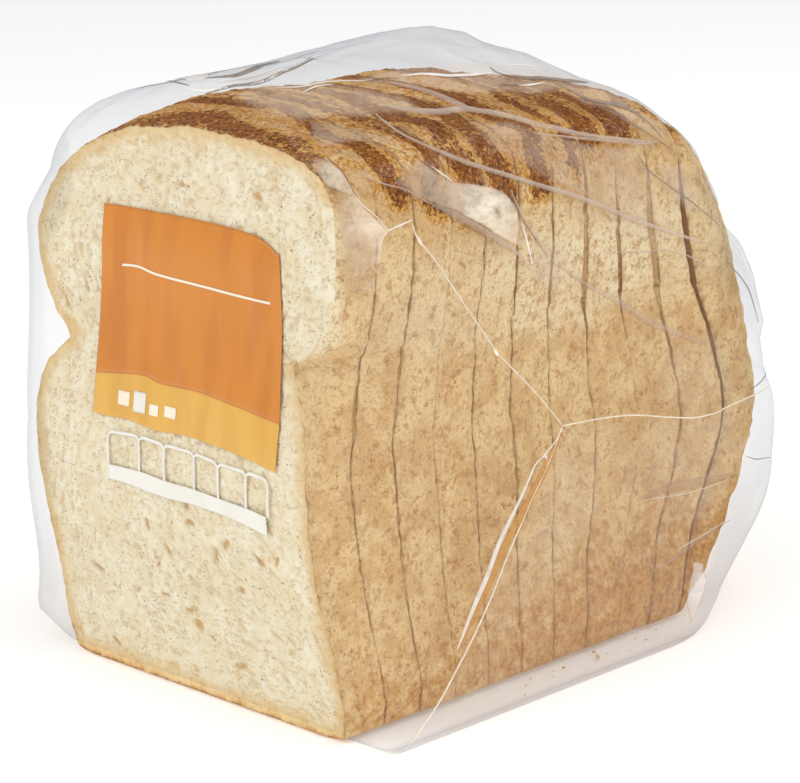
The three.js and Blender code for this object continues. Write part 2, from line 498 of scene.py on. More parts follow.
def crust_finish():
    """Tan mottled sides, a browned foot, a dark top, pale lobes, and painted highlight and shade at cut
    edges.
    """
    f = Finish("crust")
    dark, pale, edge, foot = (f.mark(name) for name in ("dark", "pale", "edge", "foot"))
    tan = f.paint((219, 179, 123), (235, 203, 149), f.grain(8.0, 3.0, 0.6).between(0.4, 0.6))
    blotch = f.grain(2.4, 4.0, 0.72).between(0.53, 0.62)
    mottle = f.grain(0.8, 3.0, 0.7).between(0.5, 0.62)
    rusty = f.grain(2.1, 4.0, 0.66, warp=0.3).between(0.57, 0.65)
    speck = f.grain(0.6, 2.0, 0.7).between(0.56, 0.63) * f.grain(3.5, 2.0).between(0.46, 0.56)
    low = (foot + (f.grain(3.4, 4.0, 0.65) - 0.5) * 2.2).between(0.3, 0.95)
    foot_brown = f.paint((206, 150, 78), (166, 104, 42), f.grain(1.6, 3.0, 0.7).between(0.42, 0.62))
    crumbly = f.grain(0.9, 4.0, 0.75, f.stretched((0.8, 1.0, 1.0)))
    top_gold = f.paint((222, 172, 92), (186, 122, 42), crumbly.between(0.42, 0.58))
    top_brown = f.paint((164, 94, 20), (98, 50, 6), crumbly.between(0.42, 0.6))
    top = dark + (f.grain(4.0, 4.0, 0.68) - 0.5) * 1.35 + (crumbly - 0.5) * 1.3
    fleck = f.grain(0.8, 2.0, 0.6).between(0.58, 0.65) * dark.between(0.2, 0.5)
    # painted highlight and painted shade along the cut edges between slices
    painted_edge_highlight = edge * f.grain(1.6, 2.0).between(0.44, 0.6) * (1 - low)
    painted_cut_shade = edge.between(0.55, 1.0) * f.grain(2.4, 2.0).between(0.42, 0.56)
    colour = f.coats(tan, [
        ("pale lobes", (243, 224, 182), pale * 0.85),
        ("blotches", (194, 142, 88), blotch * 0.62),
        ("fine mottle", (188, 136, 82), mottle * 0.34),
        ("rusty spots", (184, 124, 74), rusty * 0.66),
        ("dark specks", (142, 92, 54), speck * 0.6),
        ("flour", (250, 230, 184), f.grain(0.6, 1.0).between(0.64, 0.7) * 0.5),
        ("browned foot", foot_brown, low * 0.75),
        ("golden top", top_gold, top.between(0.2, 0.42)),
        ("dark top", top_brown, top.between(0.54, 0.76)),
        ("light flecks on the top", (226, 178, 98), fleck * 0.6),
        # painted highlight and painted shade at the cut edges
        ("painted highlight on cut edge", (240, 218, 172), painted_edge_highlight * 0.4),
        ("painted shade at cut edge", (150, 102, 60), painted_cut_shade * 0.4),
    ])
    bump = f.bump(f.grain(1.0, 3.0, 0.6) + blotch * 0.3, 0.5, 0.6 * MM)
    return f.output(f.surface(colour, 0.8, {"Normal": bump, "Specular IOR Level": BREAD_GLOSS}))


crust = crust_finish()

# %% [markdown]
# ## The loaf's outline
#
# Seen from the front, a tin loaf is nearly straight up to the tin's rim; above it the dough
# spread into two lobes, with a notch under each. A smooth closed curve through knots at
# those named places gives the outline. It is resampled at equal steps, so that columns of
# the mesh are evenly wide.

# %% Outline knots and their smooth curve
OUTLINE_KNOTS = np.array([
    (0, 0), (42, 0), (48.5, 5), (47, 25), (46.5, 50), (44.5, 68), (41.5, 79), (39.5, 84), (45, 86),
    (49.5, 94), (50.5, 106), (48.5, 117), (42, 124.5), (28, 128.5), (10, 130), (-12, 129.3),
    (-24, 127), (-36, 122.5), (-45, 115.5), (-49, 108), (-50.5, 100), (-48, 92), (-43.5, 85),
    (-37, 79), (-41, 75), (-45.5, 70), (-47.5, 60), (-47, 40), (-47.5, 15), (-46, 4), (-40, 0),
])
CRUMB_HEART = np.array([0.0, 76.0])


def through_knots(knots, steps, closed=True):
    """A smooth curve through knots: on each span a cubic whose slopes follow the neighbours."""
    count = len(knots)
    spans = count if closed else count - 1
    share = np.linspace(0.0, 1.0, steps, endpoint=False)[None, :, None]
    index = np.arange(spans)[:, None] + np.array([-1, 0, 1, 2])[None, :]
    index = index % count if closed else np.clip(index, 0, count - 1)
    a, b, c, d = (knots[index[:, i]][:, None, :] for i in range(4))
    cubic = 3 * b - 3 * c + d - a
    square = 2 * a - 5 * b + 4 * c - d
    points = (0.5 * (2 * b + (c - a) * share + square * share**2 + cubic * share**3))
    points = points.reshape(-1, knots.shape[1])
    return points if closed else np.vstack([points, knots[-1:]])


def even_ring(count):
    """The loaf's outline at equal steps of arc length, counterclockwise from the base's middle."""
    curve = through_knots(OUTLINE_KNOTS.astype(float), 24)
    curve[:, 1] = np.maximum(curve[:, 1], 0.0)
    closed = np.vstack([curve, curve[:1]])
    length = np.concatenate([[0.0], np.cumsum(np.linalg.norm(np.diff(closed, axis=0), axis=1))])
    wanted = np.linspace(0.0, length[-1], count, endpoint=False)
    return np.stack([np.interp(wanted, length, closed[:, i]) for i in range(2)], axis=-1), length[-1]


def ring_normals(ring):
    """Outward normals of a counterclockwise ring."""
    along = np.roll(ring, -1, axis=0) - np.roll(ring, 1, axis=0)
    normals = np.stack([along[:, 1], -along[:, 0]], axis=-1)
    return normals / np.linalg.norm(normals, axis=1, keepdims=True)


# %% [markdown]
# ## Cuts between the slices
#
# The cuts are a pitch apart, a little more at mid height, where the stack bows forward and
# bulges back. Towards the heel the bag is slack, so the slices sit further apart and their
# tops sink a little. Where two lobes meet the gap is widest and shows as a dark line.

# %% Depth of each cut
SLICES = 10
SLICE_THICKNESS = 12.0
PITCH = 10.6
PITCH_BOW = 1.7
SLACK_FROM = 5.5
HEEL_SPREAD = 10.5
SINK_FROM = 6.0
TOP_SINK = 0.045
CUT_GAP = 0.18
FACE_FORWARD = 1.1
# how far the rim moves in on faces hidden in a cut: a browner rim and painted shade of the cut
HIDDEN_RIM_AND_SHADE = 1.3
HEEL_GAP = 0.55
EDGE_ROUNDING = 0.26
EDGE_ROUNDING_REACH = 0.9
LOBE_ROUNDING = 1.0
LOBE_ROUNDING_REACH = 3.2
PORE_DEPTH = 0.42


def cut(k, z):
    """Depth of cut k at a height: pitch times k, plus the bow, plus the slack near the heel."""
    spread = HEEL_SPREAD * np.clip((k - SLACK_FROM) / (SLICES - SLACK_FROM), 0.0, 1.0) ** 1.3
    return bread_front(z) + k * (PITCH + PITCH_BOW * bulge(z)) + spread * bulge(z)


def top_sink(k):
    """Share of the height that a slice keeps: the last ones have sunk."""
    return 1.0 - TOP_SINK * np.clip((k - SINK_FROM) / (SLICES - SINK_FROM), 0.0, 1.0) ** 1.4


def soften_notch(ring, k):
    """Behind the front slice the notch under the lobes is shallower: its hollow is partly filled."""
    fill = 0.9 * smooth(k, 0.0, 1.3)
    full = np.interp(ring[:, 1], [62.0, 96.0], [45.2, 50.0])
    hollow = (ring[:, 1] > 62.0) & (ring[:, 1] < 96.0)
    width = np.abs(ring[:, 0])
    filled = width + fill * np.maximum(full - width, 0.0) * hollow
    return np.stack([np.sign(ring[:, 0]) * filled, ring[:, 1]], axis=-1)


def raise_crest(ring, k):
    """Behind the front slice the loaf stands higher, most on the left of its top."""
    x, z = ring[:, 0], ring[:, 1]
    height = blend(4.2, 0.5, smooth(x, -14.0, 30.0)) * smooth(k, 0.0, 1.6)
    height = height * blend(1.0, 0.45, smooth(k, 2.0, 5.0)) * (1.0 - smooth(k, 7.0, 10.5))
    return np.stack([x, z + height * smooth(z, 110.0, 124.0)], axis=-1)


def lobe_gap(k, x, z):
    """Extra gap where the lobes part near the heel, and under the front slice's right lobe."""
    lobes = smooth(k, 4.0, 7.0) * smooth(z, 72.0, 90.0) * (1.0 - smooth(z, 98.0, 116.0))
    notch = np.exp(-(((k - 1.0) / 0.3) ** 2) - ((z - 73.0) / 6.5) ** 2) * smooth(x, 0.0, 20.0)
    return 0.65 * lobes + 0.5 * notch


# %% [markdown]
# ## One slice
#
# A slice is a closed tube of rings: out from the middle of the front face, across the
# crust, and back to the middle of the back face. Two parameters place each point: the
# angle round the outline and the step along that profile. The front slice gets a fine
# grid, because its face is the largest surface in the picture; the others show only their
# crust, so their faces need a few rings.

# %% Pores of the crumb
BIG_PORES = [
    (219, 556, 6.0, 2.4, 70), (229, 544, 3.4, 2.2, 40), (172, 550, 3.6, 2.0, 120),
    (142, 587, 3.8, 1.4, 30), (203, 624, 3.6, 3.0, 0), (192, 522, 3.0, 1.8, 10),
    (192, 609, 5.0, 1.5, 10), (168, 593, 4.0, 1.3, 5), (104, 568, 6.5, 1.8, 160),
    (245, 665, 4.6, 1.2, 20), (262, 560, 3.4, 2.0, 150), (150, 522, 3.0, 1.5, 100),
    (245, 590, 3.2, 1.6, 20), (188, 505, 3.2, 1.8, 30), (262, 198, 4.2, 2.6, 150),
    (187, 184, 4.0, 1.3, 170), (70, 300, 5.0, 1.4, 100), (90, 285, 4.4, 1.2, 120),
    (280, 560, 3.0, 1.4, 60), (120, 640, 3.4, 1.2, 150),
]
FOLD_FROM = np.array([40.0, 83.5])
FOLD_TO = np.array([31.0, 88.0])


def front_face_place(pixel):
    """The spot on the front slice's face that shows at a pixel: the sight line meets its depth."""
    across = (np.array(pixel, dtype=float) - (IMAGE_WIDTH / 2, IMAGE_HEIGHT / 2)) / FOCAL_PIXELS
    sight = across[0] * cam_right - across[1] * cam_up - cam_back
    depth = 0.0
    for _ in range(12):
        spot = cam_place + sight * ((depth + SHIFT[1] - cam_place[1]) / sight[1])
        depth = float(bread_front(spot[2]))
    return spot[[0, 2]]


def pores(flat, ring_place, inset, radius):
    """Depth share of the crumb's hollows. They lie along the crust, and in the middle anyhow."""
    warp = np.stack([cloud(flat, 2.4, 5), cloud(flat, 2.4, 6)], axis=-1)
    edge_way = np.stack([ring_place / 2.1, inset], axis=-1) + warp * 0.7
    middle_way = flat * [1.0, 1.45] + warp * 1.0
    share = smooth(radius, 0.55, 0.35)
    patchy = 0.75 + 0.35 * cloud(flat, 8.0, 7)
    total = np.zeros(flat.shape[:-1])
    for size, seed, rare, weight in ((1.1, 11, -0.35, 0.55), (1.8, 21, -0.05, 0.75), (2.7, 31, 0.4, 0.9)):
        for way, part in ((edge_way, 1.0 - share), (middle_way, share)):
            distance, tag = dots(way, size, seed)
            width = 0.22 + 0.18 * np.clip(tag, 0.0, 1.0)
            hollow = (1.0 - smooth(distance, width * 0.3, width * 1.4)) * (tag > rare)
            total = np.maximum(total, hollow * weight * part * patchy)
    return total


def named_pores(flat):
    """The largest hollows, each a ragged oval at its own place in the picture."""
    total = np.zeros(flat.shape[:-1])
    ragged = cloud(flat, 1.3, 41) * 0.45 + cloud(flat, 0.6, 42) * 0.2
    for across, down, length, width, tilt in BIG_PORES:
        offset = flat - front_face_place((across, down))
        lean = math.radians(tilt)
        along = (offset[..., 0] * math.cos(lean) + offset[..., 1] * math.sin(lean)) / (length / 2)
        beside = (offset[..., 1] * math.cos(lean) - offset[..., 0] * math.sin(lean)) / (width / 2)
        total = np.maximum(total, 1.35 * (1.0 - smooth(np.hypot(along, beside) + ragged, 0.55, 1.15)))
    return total


def fold_groove(flat):
    """The crease that runs into the crumb from the right notch."""
    along = FOLD_TO - FOLD_FROM
    share = np.clip(((flat - FOLD_FROM) @ along) / (along @ along), 0.0, 1.0)
    distance = np.linalg.norm(flat - FOLD_FROM - share[..., None] * along, axis=-1)
    return (1.0 - smooth(distance + cloud(flat, 1.5, 51) * 0.3, 0.2, 0.9)) * (1.2 - 0.7 * share)


# %% The slice's surface


def slice_piece(k, around, face_rings, crust_rows, back_rings, seed):
    """Rings out over the front face, across the crust and in over the back face."""
    ring, length = even_ring(around)
    normals = ring_normals(ring)
    wander = scatter(np.array([[k, 1], [k, 2], [k, 3]]), seed)
    scale = [1.0 + 0.003 * wander[0], top_sink(k) * (1.0 + 0.004 * wander[1])]
    ring_back = raise_crest(soften_notch(ring, k + 1.0), k + 1.0) * scale + [0.2 * wander[2], 0.0]
    ring = raise_crest(soften_notch(ring, k), k) * scale + [0.2 * wander[2], 0.0]
    radius = np.concatenate([
        np.linspace(0.0, 1.0, face_rings + 1)[1:],
        np.ones(crust_rows - 2),
        np.linspace(1.0, 0.0, back_rings + 1)[:-1],
    ])
    share = np.concatenate([
        np.zeros(face_rings),
        np.linspace(0.0, 1.0, crust_rows)[1:-1],
        np.ones(back_rings),
    ])
    outward = ((ring - CRUMB_HEART) * normals).sum(-1)
    ring_rows = blend(ring[None], ring_back[None], share[:, None, None])
    flat = CRUMB_HEART + (ring_rows - CRUMB_HEART) * radius[:, None, None]
    ring_place = np.broadcast_to(np.linspace(0, length, around, endpoint=False), flat.shape[:2])
    inset = (1.0 - radius)[:, None] * outward[None, :]

    from_edge = np.minimum(share, 1.0 - share) * SLICE_THICKNESS
    flatness = 1.0 - np.clip(from_edge / EDGE_ROUNDING_REACH, 0.0, 1.0)
    rounding = EDGE_ROUNDING * (1.0 - np.sqrt(1.0 - flatness**2))
    soft = right_lobe(ring) if k == 0 else np.zeros(around)
    on_crust = smooth(radius, 0.93, 1.0)[:, None]
    through = np.broadcast_to(share[:, None] * SLICE_THICKNESS + k * 13.0, inset.shape)
    solid = np.stack([flat[..., 0], through, flat[..., 1]], axis=-1)
    rough = 0.30 * cloud(solid, 2.2, 61) + 0.16 * cloud(solid, 0.9, 62) + 0.5 * cloud(solid, 11.0, 63)
    rough = rough * smooth(flat[..., 1], 0.5, 6.0)
    near_front = (1.0 - smooth(share * SLICE_THICKNESS, 0.0, LOBE_ROUNDING_REACH)) ** 2
    drawn_in = LOBE_ROUNDING * soft[None, :] * near_front[:, None]
    flat = flat + normals[None] * ((rough - rounding[:, None] - drawn_in) * on_crust)[..., None]
    flat[..., 1] = np.maximum(flat[..., 1], 0.05)

    uneven_gap = np.maximum(0.15, 1.0 + 1.5 * cloud(flat, 14.0, 85 + k))
    gap = CUT_GAP / 2 * uneven_gap * blend(0.4, 1.0, smooth(k, 2.0, 6.0))
    gap = gap + lobe_gap(k + share[:, None], flat[..., 0], flat[..., 1]) * (0.3 + 0.7 * on_crust)
    uneven = 0.14 * cloud(flat, 7.0, 70 + k) * (0.2 if k == 0 else 1.0)
    near = cut(k, flat[..., 1]) + (-FACE_FORWARD if k == 0 else gap) + uneven * (share[:, None] == 0)
    far = cut(k + 1, flat[..., 1]) - gap
    depth = blend(near, far, share[:, None])

    pore = np.zeros(flat.shape[:2])
    facing = share == 0
    if k == 0:
        front = flat[facing]
        spread = np.broadcast_to(radius[facing, None], front.shape[:2])
        hollow = np.maximum(pores(front, ring_place[facing], inset[facing], spread), named_pores(front))
        pore[facing] = np.maximum(hollow, fold_groove(front))
        depth = depth + pore * PORE_DEPTH * smooth(inset, 0.0, 0.8)
        near_rim = (1.0 - smooth(inset, 0.0, 3.0)) ** 2
        depth = depth + LOBE_ROUNDING * soft[None, :] * near_rim * facing[:, None]
        fine = 0.10 * cloud(front, 0.9, 81) + 0.12 * cloud(front, 2.5, 82)
        depth[facing] += fine * smooth(inset[facing], 0.2, 1.5)
    points = np.stack([flat[..., 0], depth, flat[..., 1]], axis=-1)

    marks = {
        "pore": pore,
        # behind the front slice the face's rim is shifted in: a browner rim and painted shade of the cut
        "rim": inset + (front_rim(points) if k == 0 else -HIDDEN_RIM_AND_SHADE),
        "dark": crust_darkness(points, share, k, seed),
        "pale": crust_paleness(points) + 0.16 * wander[0] + (k == 0) * cut_edge_paleness(points, share),
        "edge": (1.0 - smooth(from_edge, 0.2, 1.1))[:, None] * (1.0 - soft)[None, :],
        "foot": crust_foot(points),
    }
    poles = np.array([[*CRUMB_HEART, near[0].mean()], [*CRUMB_HEART, far[-1].mean()]])[:, [0, 2, 1]]
    cloud_of_points = np.vstack([points.reshape(-1, 3), poles]) + SHIFT
    marks = {name: np.append(values.ravel(), [values.ravel()[0], 0.0]) for name, values in marks.items()}
    rows = len(radius)
    faces = ring_faces(rows, around, rows * around, rows * around + 1)
    row_of_face = np.repeat(np.arange(rows - 1), around)
    is_crust = (row_of_face >= face_rings - 1) & (row_of_face < face_rings + crust_rows - 2)
    material_of = np.concatenate([is_crust.astype(int), np.zeros(2 * around, dtype=int)])
    name = f"slice_{k + 1:02d}"
    piece = make_piece(name, cloud_of_points, faces, [crumb, crust], marks, material_of)
    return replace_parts(piece, "bread_bag")


def crust_darkness(points, share, k, seed):
    """How dark the crust is: the top, in bands that each slice wears differently."""
    x, z = points[..., 0], points[..., 2]
    border = np.interp(k, [0, 1, 2, 4, 7, 9], [117.0, 110.0, 105.0, 105.0, 112.0, 116.0])
    top = smooth(z + 3.5 * cloud(points, 7.0, 91), border, border + 9.0)
    band = share[:, None] + 0.35 * cloud(points[..., [0, 2]], 9.0, 92 + k)
    shift = 0.25 * scatter(np.array([k, 7]), seed)
    brown = smooth(band, 0.28 + shift, 0.42 + shift) * (1.0 - 0.75 * smooth(band, 0.82, 0.95))
    if k == 0:
        brown = 1.0 - smooth(band, 0.55, 0.72)
    brown = brown * (0.9 + 0.3 * cloud(points[..., [0, 2]], 14.0, 140 + k))
    return top * (0.36 + 0.6 * brown)


def crust_paleness(points):
    """How pale the crust is: the lobes, whose dough stretched after the crust had set."""
    y, z = points[..., 1], points[..., 2]
    lobes = smooth(z + 3.0 * cloud(points, 6.0, 94), 76.0, 86.0) * (1.0 - smooth(z, 98.0, 112.0))
    return lobes * (0.8 + 0.45 * cloud(points, 8.0, 95)) * blend(0.3, 1.35, smooth(y, 0.0, 80.0))


def right_lobe(place):
    """1 on the right lobe of the outline and 0 away from it, from x and, last, z."""
    x, z = place[..., 0], place[..., -1]
    return smooth(x, 26.0, 40.0) * smooth(z, 82.0, 90.0) * (1.0 - smooth(z, 114.0, 121.0))


def front_rim(points):
    """The front slice's golden rim is wider along the base and missing on the right lobe."""
    return 4.5 * right_lobe(points) - 1.3 * (1.0 - smooth(points[..., 2], 0.0, 16.0))


def cut_edge_paleness(points, share):
    """How pale the front slice's right lobe is: cream near the cut and tan a few millimetres on."""
    reach = smooth(share[:, None] * SLICE_THICKNESS + 2.0 * cloud(points, 5.0, 96), 0.5, 5.5)
    return 1.3 * (1.0 - reach) * right_lobe(points)


def crust_foot(points):
    """How far the crust has browned from the tin's hot base, more towards the heel."""
    y, z = points[..., 1], points[..., 2]
    return (1.0 - smooth(z, 4.0, 26.0 + 0.25 * y)) * blend(0.55, 1.0, smooth(y, 0.0, 90.0))


for k in range(SLICES):
    if k == 0:
        slice_piece(k, 560, 108, 14, 14, seed=3)
    else:
        slice_piece(k, 440, 5, 16, 5, seed=3)

# %% [markdown]
# ## The heel
#
# The heel is the loaf's rounded end. Its front face is cut like a slice's; from there the
# crust closes to the back in a rounded square, which is a superellipse: the depth grows
# with a power of the sine and the outline shrinks with the same power of the cosine.

# %% The heel's surface


def heel_piece(around, face_rings, end_rows):
    """A cut face, then rings that shrink along a superellipse to the middle of the back."""
    ring, _ = even_ring(around)
    normals = ring_normals(ring)
    ring = raise_crest(soften_notch(ring, SLICES), SLICES) * [1.0, top_sink(SLICES)]
    radius_front = np.linspace(0.0, 1.0, face_rings + 1)[1:]
    turn_share = np.linspace(0.0, math.pi / 2, end_rows + 1)[1:-1]
    power = blend(5.5, 2.2, smooth(ring[:, 1], 30.0, 110.0))[None, :]
    grow = np.sin(turn_share)[:, None] ** (2.0 / power)
    shrink = np.cos(turn_share)[:, None] ** (2.0 / power)
    radius = np.vstack([np.repeat(radius_front[:, None], around, axis=1), shrink])
    share = np.vstack([np.zeros((face_rings, around)), grow])
    flat = CRUMB_HEART + (ring - CRUMB_HEART)[None] * radius[..., None]
    low = np.maximum(flat[..., 1], 0.05)
    near = cut(SLICES, flat[..., 1]) + CUT_GAP + HEEL_GAP * smooth(flat[..., 1], 10.0, 40.0)
    far = np.maximum(bread_back(flat[..., 1]) - 1.0, near + 1.5)
    depth = blend(near, far, share)
    points = np.stack([flat[..., 0], depth, low], axis=-1)
    rough = 0.35 * cloud(points, 2.4, 64) + 0.18 * cloud(points, 1.0, 65) + 0.7 * cloud(points, 12.0, 66)
    sideways = np.stack([normals[:, 0], np.zeros(around), normals[:, 1]], axis=-1)[None]
    outward = sideways * radius[..., None] + np.array([0.0, 1.0, 0.0]) * share[..., None]
    crusty = (share > 0) * smooth(points[..., 2], 0.5, 6.0)
    points = points + outward * (rough * crusty)[..., None]
    points[..., 2] = np.maximum(points[..., 2], 0.05)
    top = smooth(points[..., 2] + 3.0 * cloud(points, 9.0, 97), 112.0, 121.0)
    marks = {
        "pore": np.zeros(share.shape),
        # the heel's front face takes the painted shade of the cut all over
        "rim": np.full(share.shape, -1.5 * HIDDEN_RIM_AND_SHADE),
        "dark": top * (0.75 + 0.35 * cloud(points, 7.0, 98)),
        "pale": crust_paleness(points) * 0.6,
        "edge": 1.0 - smooth(share, 0.0, 0.08),
        "foot": crust_foot(points),
    }
    front_middle = [CRUMB_HEART[0], near[0].mean(), CRUMB_HEART[1]]
    back_middle = [CRUMB_HEART[0], float(bread_back(CRUMB_HEART[1])) - 1.0, CRUMB_HEART[1]]
    rows = len(radius)
    all_points = np.vstack([points.reshape(-1, 3), [front_middle, back_middle]]) + SHIFT
    marks = {name: np.append(values.ravel(), [0.0, 0.0]) for name, values in marks.items()}
    faces = ring_faces(rows, around, rows * around, rows * around + 1)
    row_of_face = np.repeat(np.arange(rows - 1), around)
    material_of = np.concatenate([
        (row_of_face >= face_rings - 1).astype(int),
        np.zeros(around, dtype=int),
        np.ones(around, dtype=int),
    ])
    piece = make_piece("heel", all_points, faces, [crumb, crust], marks, material_of)
    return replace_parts(piece, "bread_bag")


heel_piece(440, 5, 46)

# %% [markdown]
# ## The film
#
# The film is one closed surface, drawn with the same formulas as the part's solid but on a
# much finer grid. Rings run from the middle of the flat printed end out to its rounded
# edge, back along the bag and in again over the rounded end. On top of that smooth shape
# come the creases: flat facets with sharp edges, long ones along the ridge and small
# crowded ones where the film gathers at the back.

# %% Film grid and its smooth shape
BASE_COLUMNS = 24
RIGHT_COLUMNS = 140
TOP_COLUMNS = 160
LEFT_COLUMNS = 70
PANEL_ROWS = 52
EDGE_ROWS = 8
PANEL_SHARE = 0.93
EDGE_SHARE = 0.07
BODY_ROWS = 118
END_ROWS = 58
FRONT_TENT = 9.0
PEAK_TENT = 10.5
PEAK_DEPTH = 76.0
TENT_END_DEPTH = 108.0
RIDGE_FRONT_X = 10.0
RIDGE_SLOPE = -0.12


def film_front(z):
    """Depth of the film's front panel."""
    return bread_front(z) - FRONT_SLACK


def film_back(z):
    """Depth of the film's back."""
    return bread_back(z) + BACK_SLACK


def side_half_width(z, lobe):
    """Half width of a side, straight between the base, the fold, the lobe and the shoulder."""
    heights = [0.0, FOLD_HEIGHT, LOBE_HEIGHT, SHOULDER_HEIGHT]
    return np.interp(z, heights, [BASE_HALF_WIDTH, FOLD_HALF_WIDTH, lobe, SHOULDER_HALF_WIDTH])


def tent_height(y):
    """Rise of the slack film's ridge over the loaf, along its depth."""
    return np.interp(y, [0.0, PEAK_DEPTH, TENT_END_DEPTH], [FRONT_TENT, PEAK_TENT, 0.0])


def film_top(turn, y):
    """The loaf's dome plus a tent whose sides are straight from the ridge to the shoulders."""
    ridge_x = RIDGE_FRONT_X + RIDGE_SLOPE * np.clip(y, 0.0, PEAK_DEPTH)
    x = SHOULDER_HALF_WIDTH * np.cos(turn) + ridge_x * np.sin(turn) ** 2
    across = np.clip(np.abs(x) / SHOULDER_HALF_WIDTH, 0.0, 1.0)
    dome = (LOAF_HEIGHT + TOP_SLACK - SHOULDER_HEIGHT) * (1.0 - across**3) ** (1.0 / 2.2)
    reach = SHOULDER_HALF_WIDTH - np.sign(x - ridge_x) * ridge_x
    tent = tent_height(y) * np.clip(1.0 - np.abs(x - ridge_x) / reach, 0.0, 1.0)
    return x, SHOULDER_HEIGHT + dome + tent


def film_outline(y):
    """The bag's outline at a depth, as x and z: base, right side, top and left side."""
    rise = np.linspace(0.0, SHOULDER_HEIGHT, RIGHT_COLUMNS, endpoint=False)
    fall = np.linspace(SHOULDER_HEIGHT, 0.0, LEFT_COLUMNS, endpoint=False)
    turn = np.linspace(0.0, math.pi, TOP_COLUMNS, endpoint=False)
    base = np.linspace(-BASE_HALF_WIDTH, BASE_HALF_WIDTH, BASE_COLUMNS, endpoint=False)
    top_x, top_z = film_top(turn, y)
    x = np.concatenate([
        base,
        side_half_width(rise, LOBE_HALF_WIDTH),
        top_x,
        -side_half_width(fall, LEFT_LOBE_HALF_WIDTH),
    ])
    return x, np.concatenate([np.zeros(BASE_COLUMNS), rise, top_z, fall])


def film_rings():
    """For each row: the share of the depth, the edge's setback and the scale of the outline."""
    panel = np.linspace(0.0, PANEL_SHARE, PANEL_ROWS + 1)[1:]
    edge = np.linspace(0.0, 1.0, EDGE_ROWS + 1)[1:-1]
    body = np.linspace(0.0, END_START, BODY_ROWS, endpoint=False)
    turn_share = np.sin(np.linspace(0.0, math.pi / 2, END_ROWS, endpoint=False)) ** (2 / END_ROUNDNESS)
    rows = [(0.0, 0.0, scale, 0.0) for scale in panel]
    rows += [
        (0.0, EDGE_RADIUS * (1.0 - math.sqrt(1.0 - e * e)), PANEL_SHARE + EDGE_SHARE * e, 0.0)
        for e in edge
    ]
    rows += [(share, EDGE_RADIUS, 1.0, 0.0) for share in body]
    rows += [(blend(END_START, 1.0, t), EDGE_RADIUS, 1.0, t) for t in turn_share]
    return rows


def film_row(share, setback, scale, turn_share):
    """One ring of the smooth film, in loaf coordinates."""
    x, full_z = film_outline(blend(float(film_front(LOAF_HEIGHT)), float(film_back(LOAF_HEIGHT)), share))
    power = blend(END_ROUNDNESS, END_TOP_ROUNDNESS, smooth(full_z, FOLD_HEIGHT, LOBE_HEIGHT))
    shrink = scale * (1.0 - turn_share**power) ** (1.0 / power)
    z = END_CENTRE_HEIGHT + (full_z - END_CENTRE_HEIGHT) * shrink
    return np.stack([x * shrink, blend(film_front(z) + setback, film_back(z), share), z], axis=-1)


def lift_left_foot(grid):
    """The bag's left foot, slack and folded up: pushed out a little and raised off the floor."""
    x, z = grid[..., 0], grid[..., 2]
    near_foot = np.exp(-(((z - 7.0) / 9.0) ** 2)) * smooth(-x, 48.0, 56.0)
    raised = 5.5 * smooth(-x, 46.0, 60.0) * (1.0 - smooth(z, 0.0, 14.0))
    return np.stack([x - 2.2 * near_foot, grid[..., 1], z + raised], axis=-1)


film_smooth = lift_left_foot(np.stack([film_row(*row) for row in film_rings()]))
FILM_ROWS, FILM_COLUMNS = film_smooth.shape[:2]
print("film grid:", FILM_ROWS, "by", FILM_COLUMNS)


def grid_normals(grid):
    """Outward normals of a grid whose columns close, from its neighbours' differences."""
    round_way = np.roll(grid, -1, axis=1) - np.roll(grid, 1, axis=1)
    back_way = np.gradient(grid, axis=0)
    normals = np.cross(back_way, round_way)
    return normals / np.maximum(np.linalg.norm(normals, axis=-1, keepdims=True), 1e-9)


film_normals = grid_normals(film_smooth)

# %% Creases of the film


def panel_ripple(x, z):
    """Soft upright ripples of the printed end, fading to nothing at its edge."""
    place = np.stack([x, z * 0.35], axis=-1)
    fade = smooth(46.0 - np.abs(x), 0.0, 12.0) * smooth(z, 4.0, 18.0) * (1.0 - smooth(z, 108.0, 124.0))
    return (0.28 * cloud(place, 9.0, 101) + 0.12 * cloud(place, 4.0, 102)) * fade


def film_creases(grid):
    """Height of the creases: facets along the ridge, crowded at the back, none as deep as the bread."""
    x, y, z = grid[..., 0], grid[..., 1], grid[..., 2]
    turn = np.arctan2(z - 70.0, x)
    round_place = turn * 62.0
    warp = 5.0 * cloud(np.stack([round_place, y], axis=-1), 24.0, 111)
    long_way = np.stack([round_place + warp, (y + 0.35 * round_place) * 0.3], axis=-1)
    short_way = np.stack([round_place + warp, y + warp], axis=-1)
    top = smooth(z, 100.0, 124.0)
    back = smooth(y, 92.0, 132.0)
    calm = smooth(y, 0.0, 10.0) * smooth(z, 1.0, 9.0)
    height = (0.55 + 0.9 * top) * facets(long_way, 13.0, 121)
    height += (0.25 + 0.35 * top + 0.5 * back) * facets(short_way, 9.0, 122)
    height += back * 1.2 * facets(short_way, 17.0, 123)
    floor = -0.4 - (3.0 - 1.0 * back) * (1.0 - smooth(z, 92.0, 112.0))
    return np.maximum(height, floor) * calm


rows_of_panel = PANEL_ROWS + EDGE_ROWS - 1
film_push = film_creases(film_smooth)
panel = film_smooth[:rows_of_panel]
film_push[:rows_of_panel] = -panel_ripple(panel[..., 0], panel[..., 2])
push_way = film_normals.copy()
push_way[:rows_of_panel] = [0.0, -1.0, 0.0]
film_grid = film_smooth + push_way * film_push[..., None]
film_grid[..., 2] = np.maximum(film_grid[..., 2], 0.0)

# %% [markdown]
# ## Finding a place on the film
#
# The weld, the folds and the hazy patches are placed where they show in the picture. For
# that a pixel is turned into a row and a column of the film's grid: the nearest grid point
# that faces the camera is the first guess, and a few steps of Newton's method close the
# rest. Whatever is made from rows and columns lies on the film by construction.

# %% From pixel to film and back


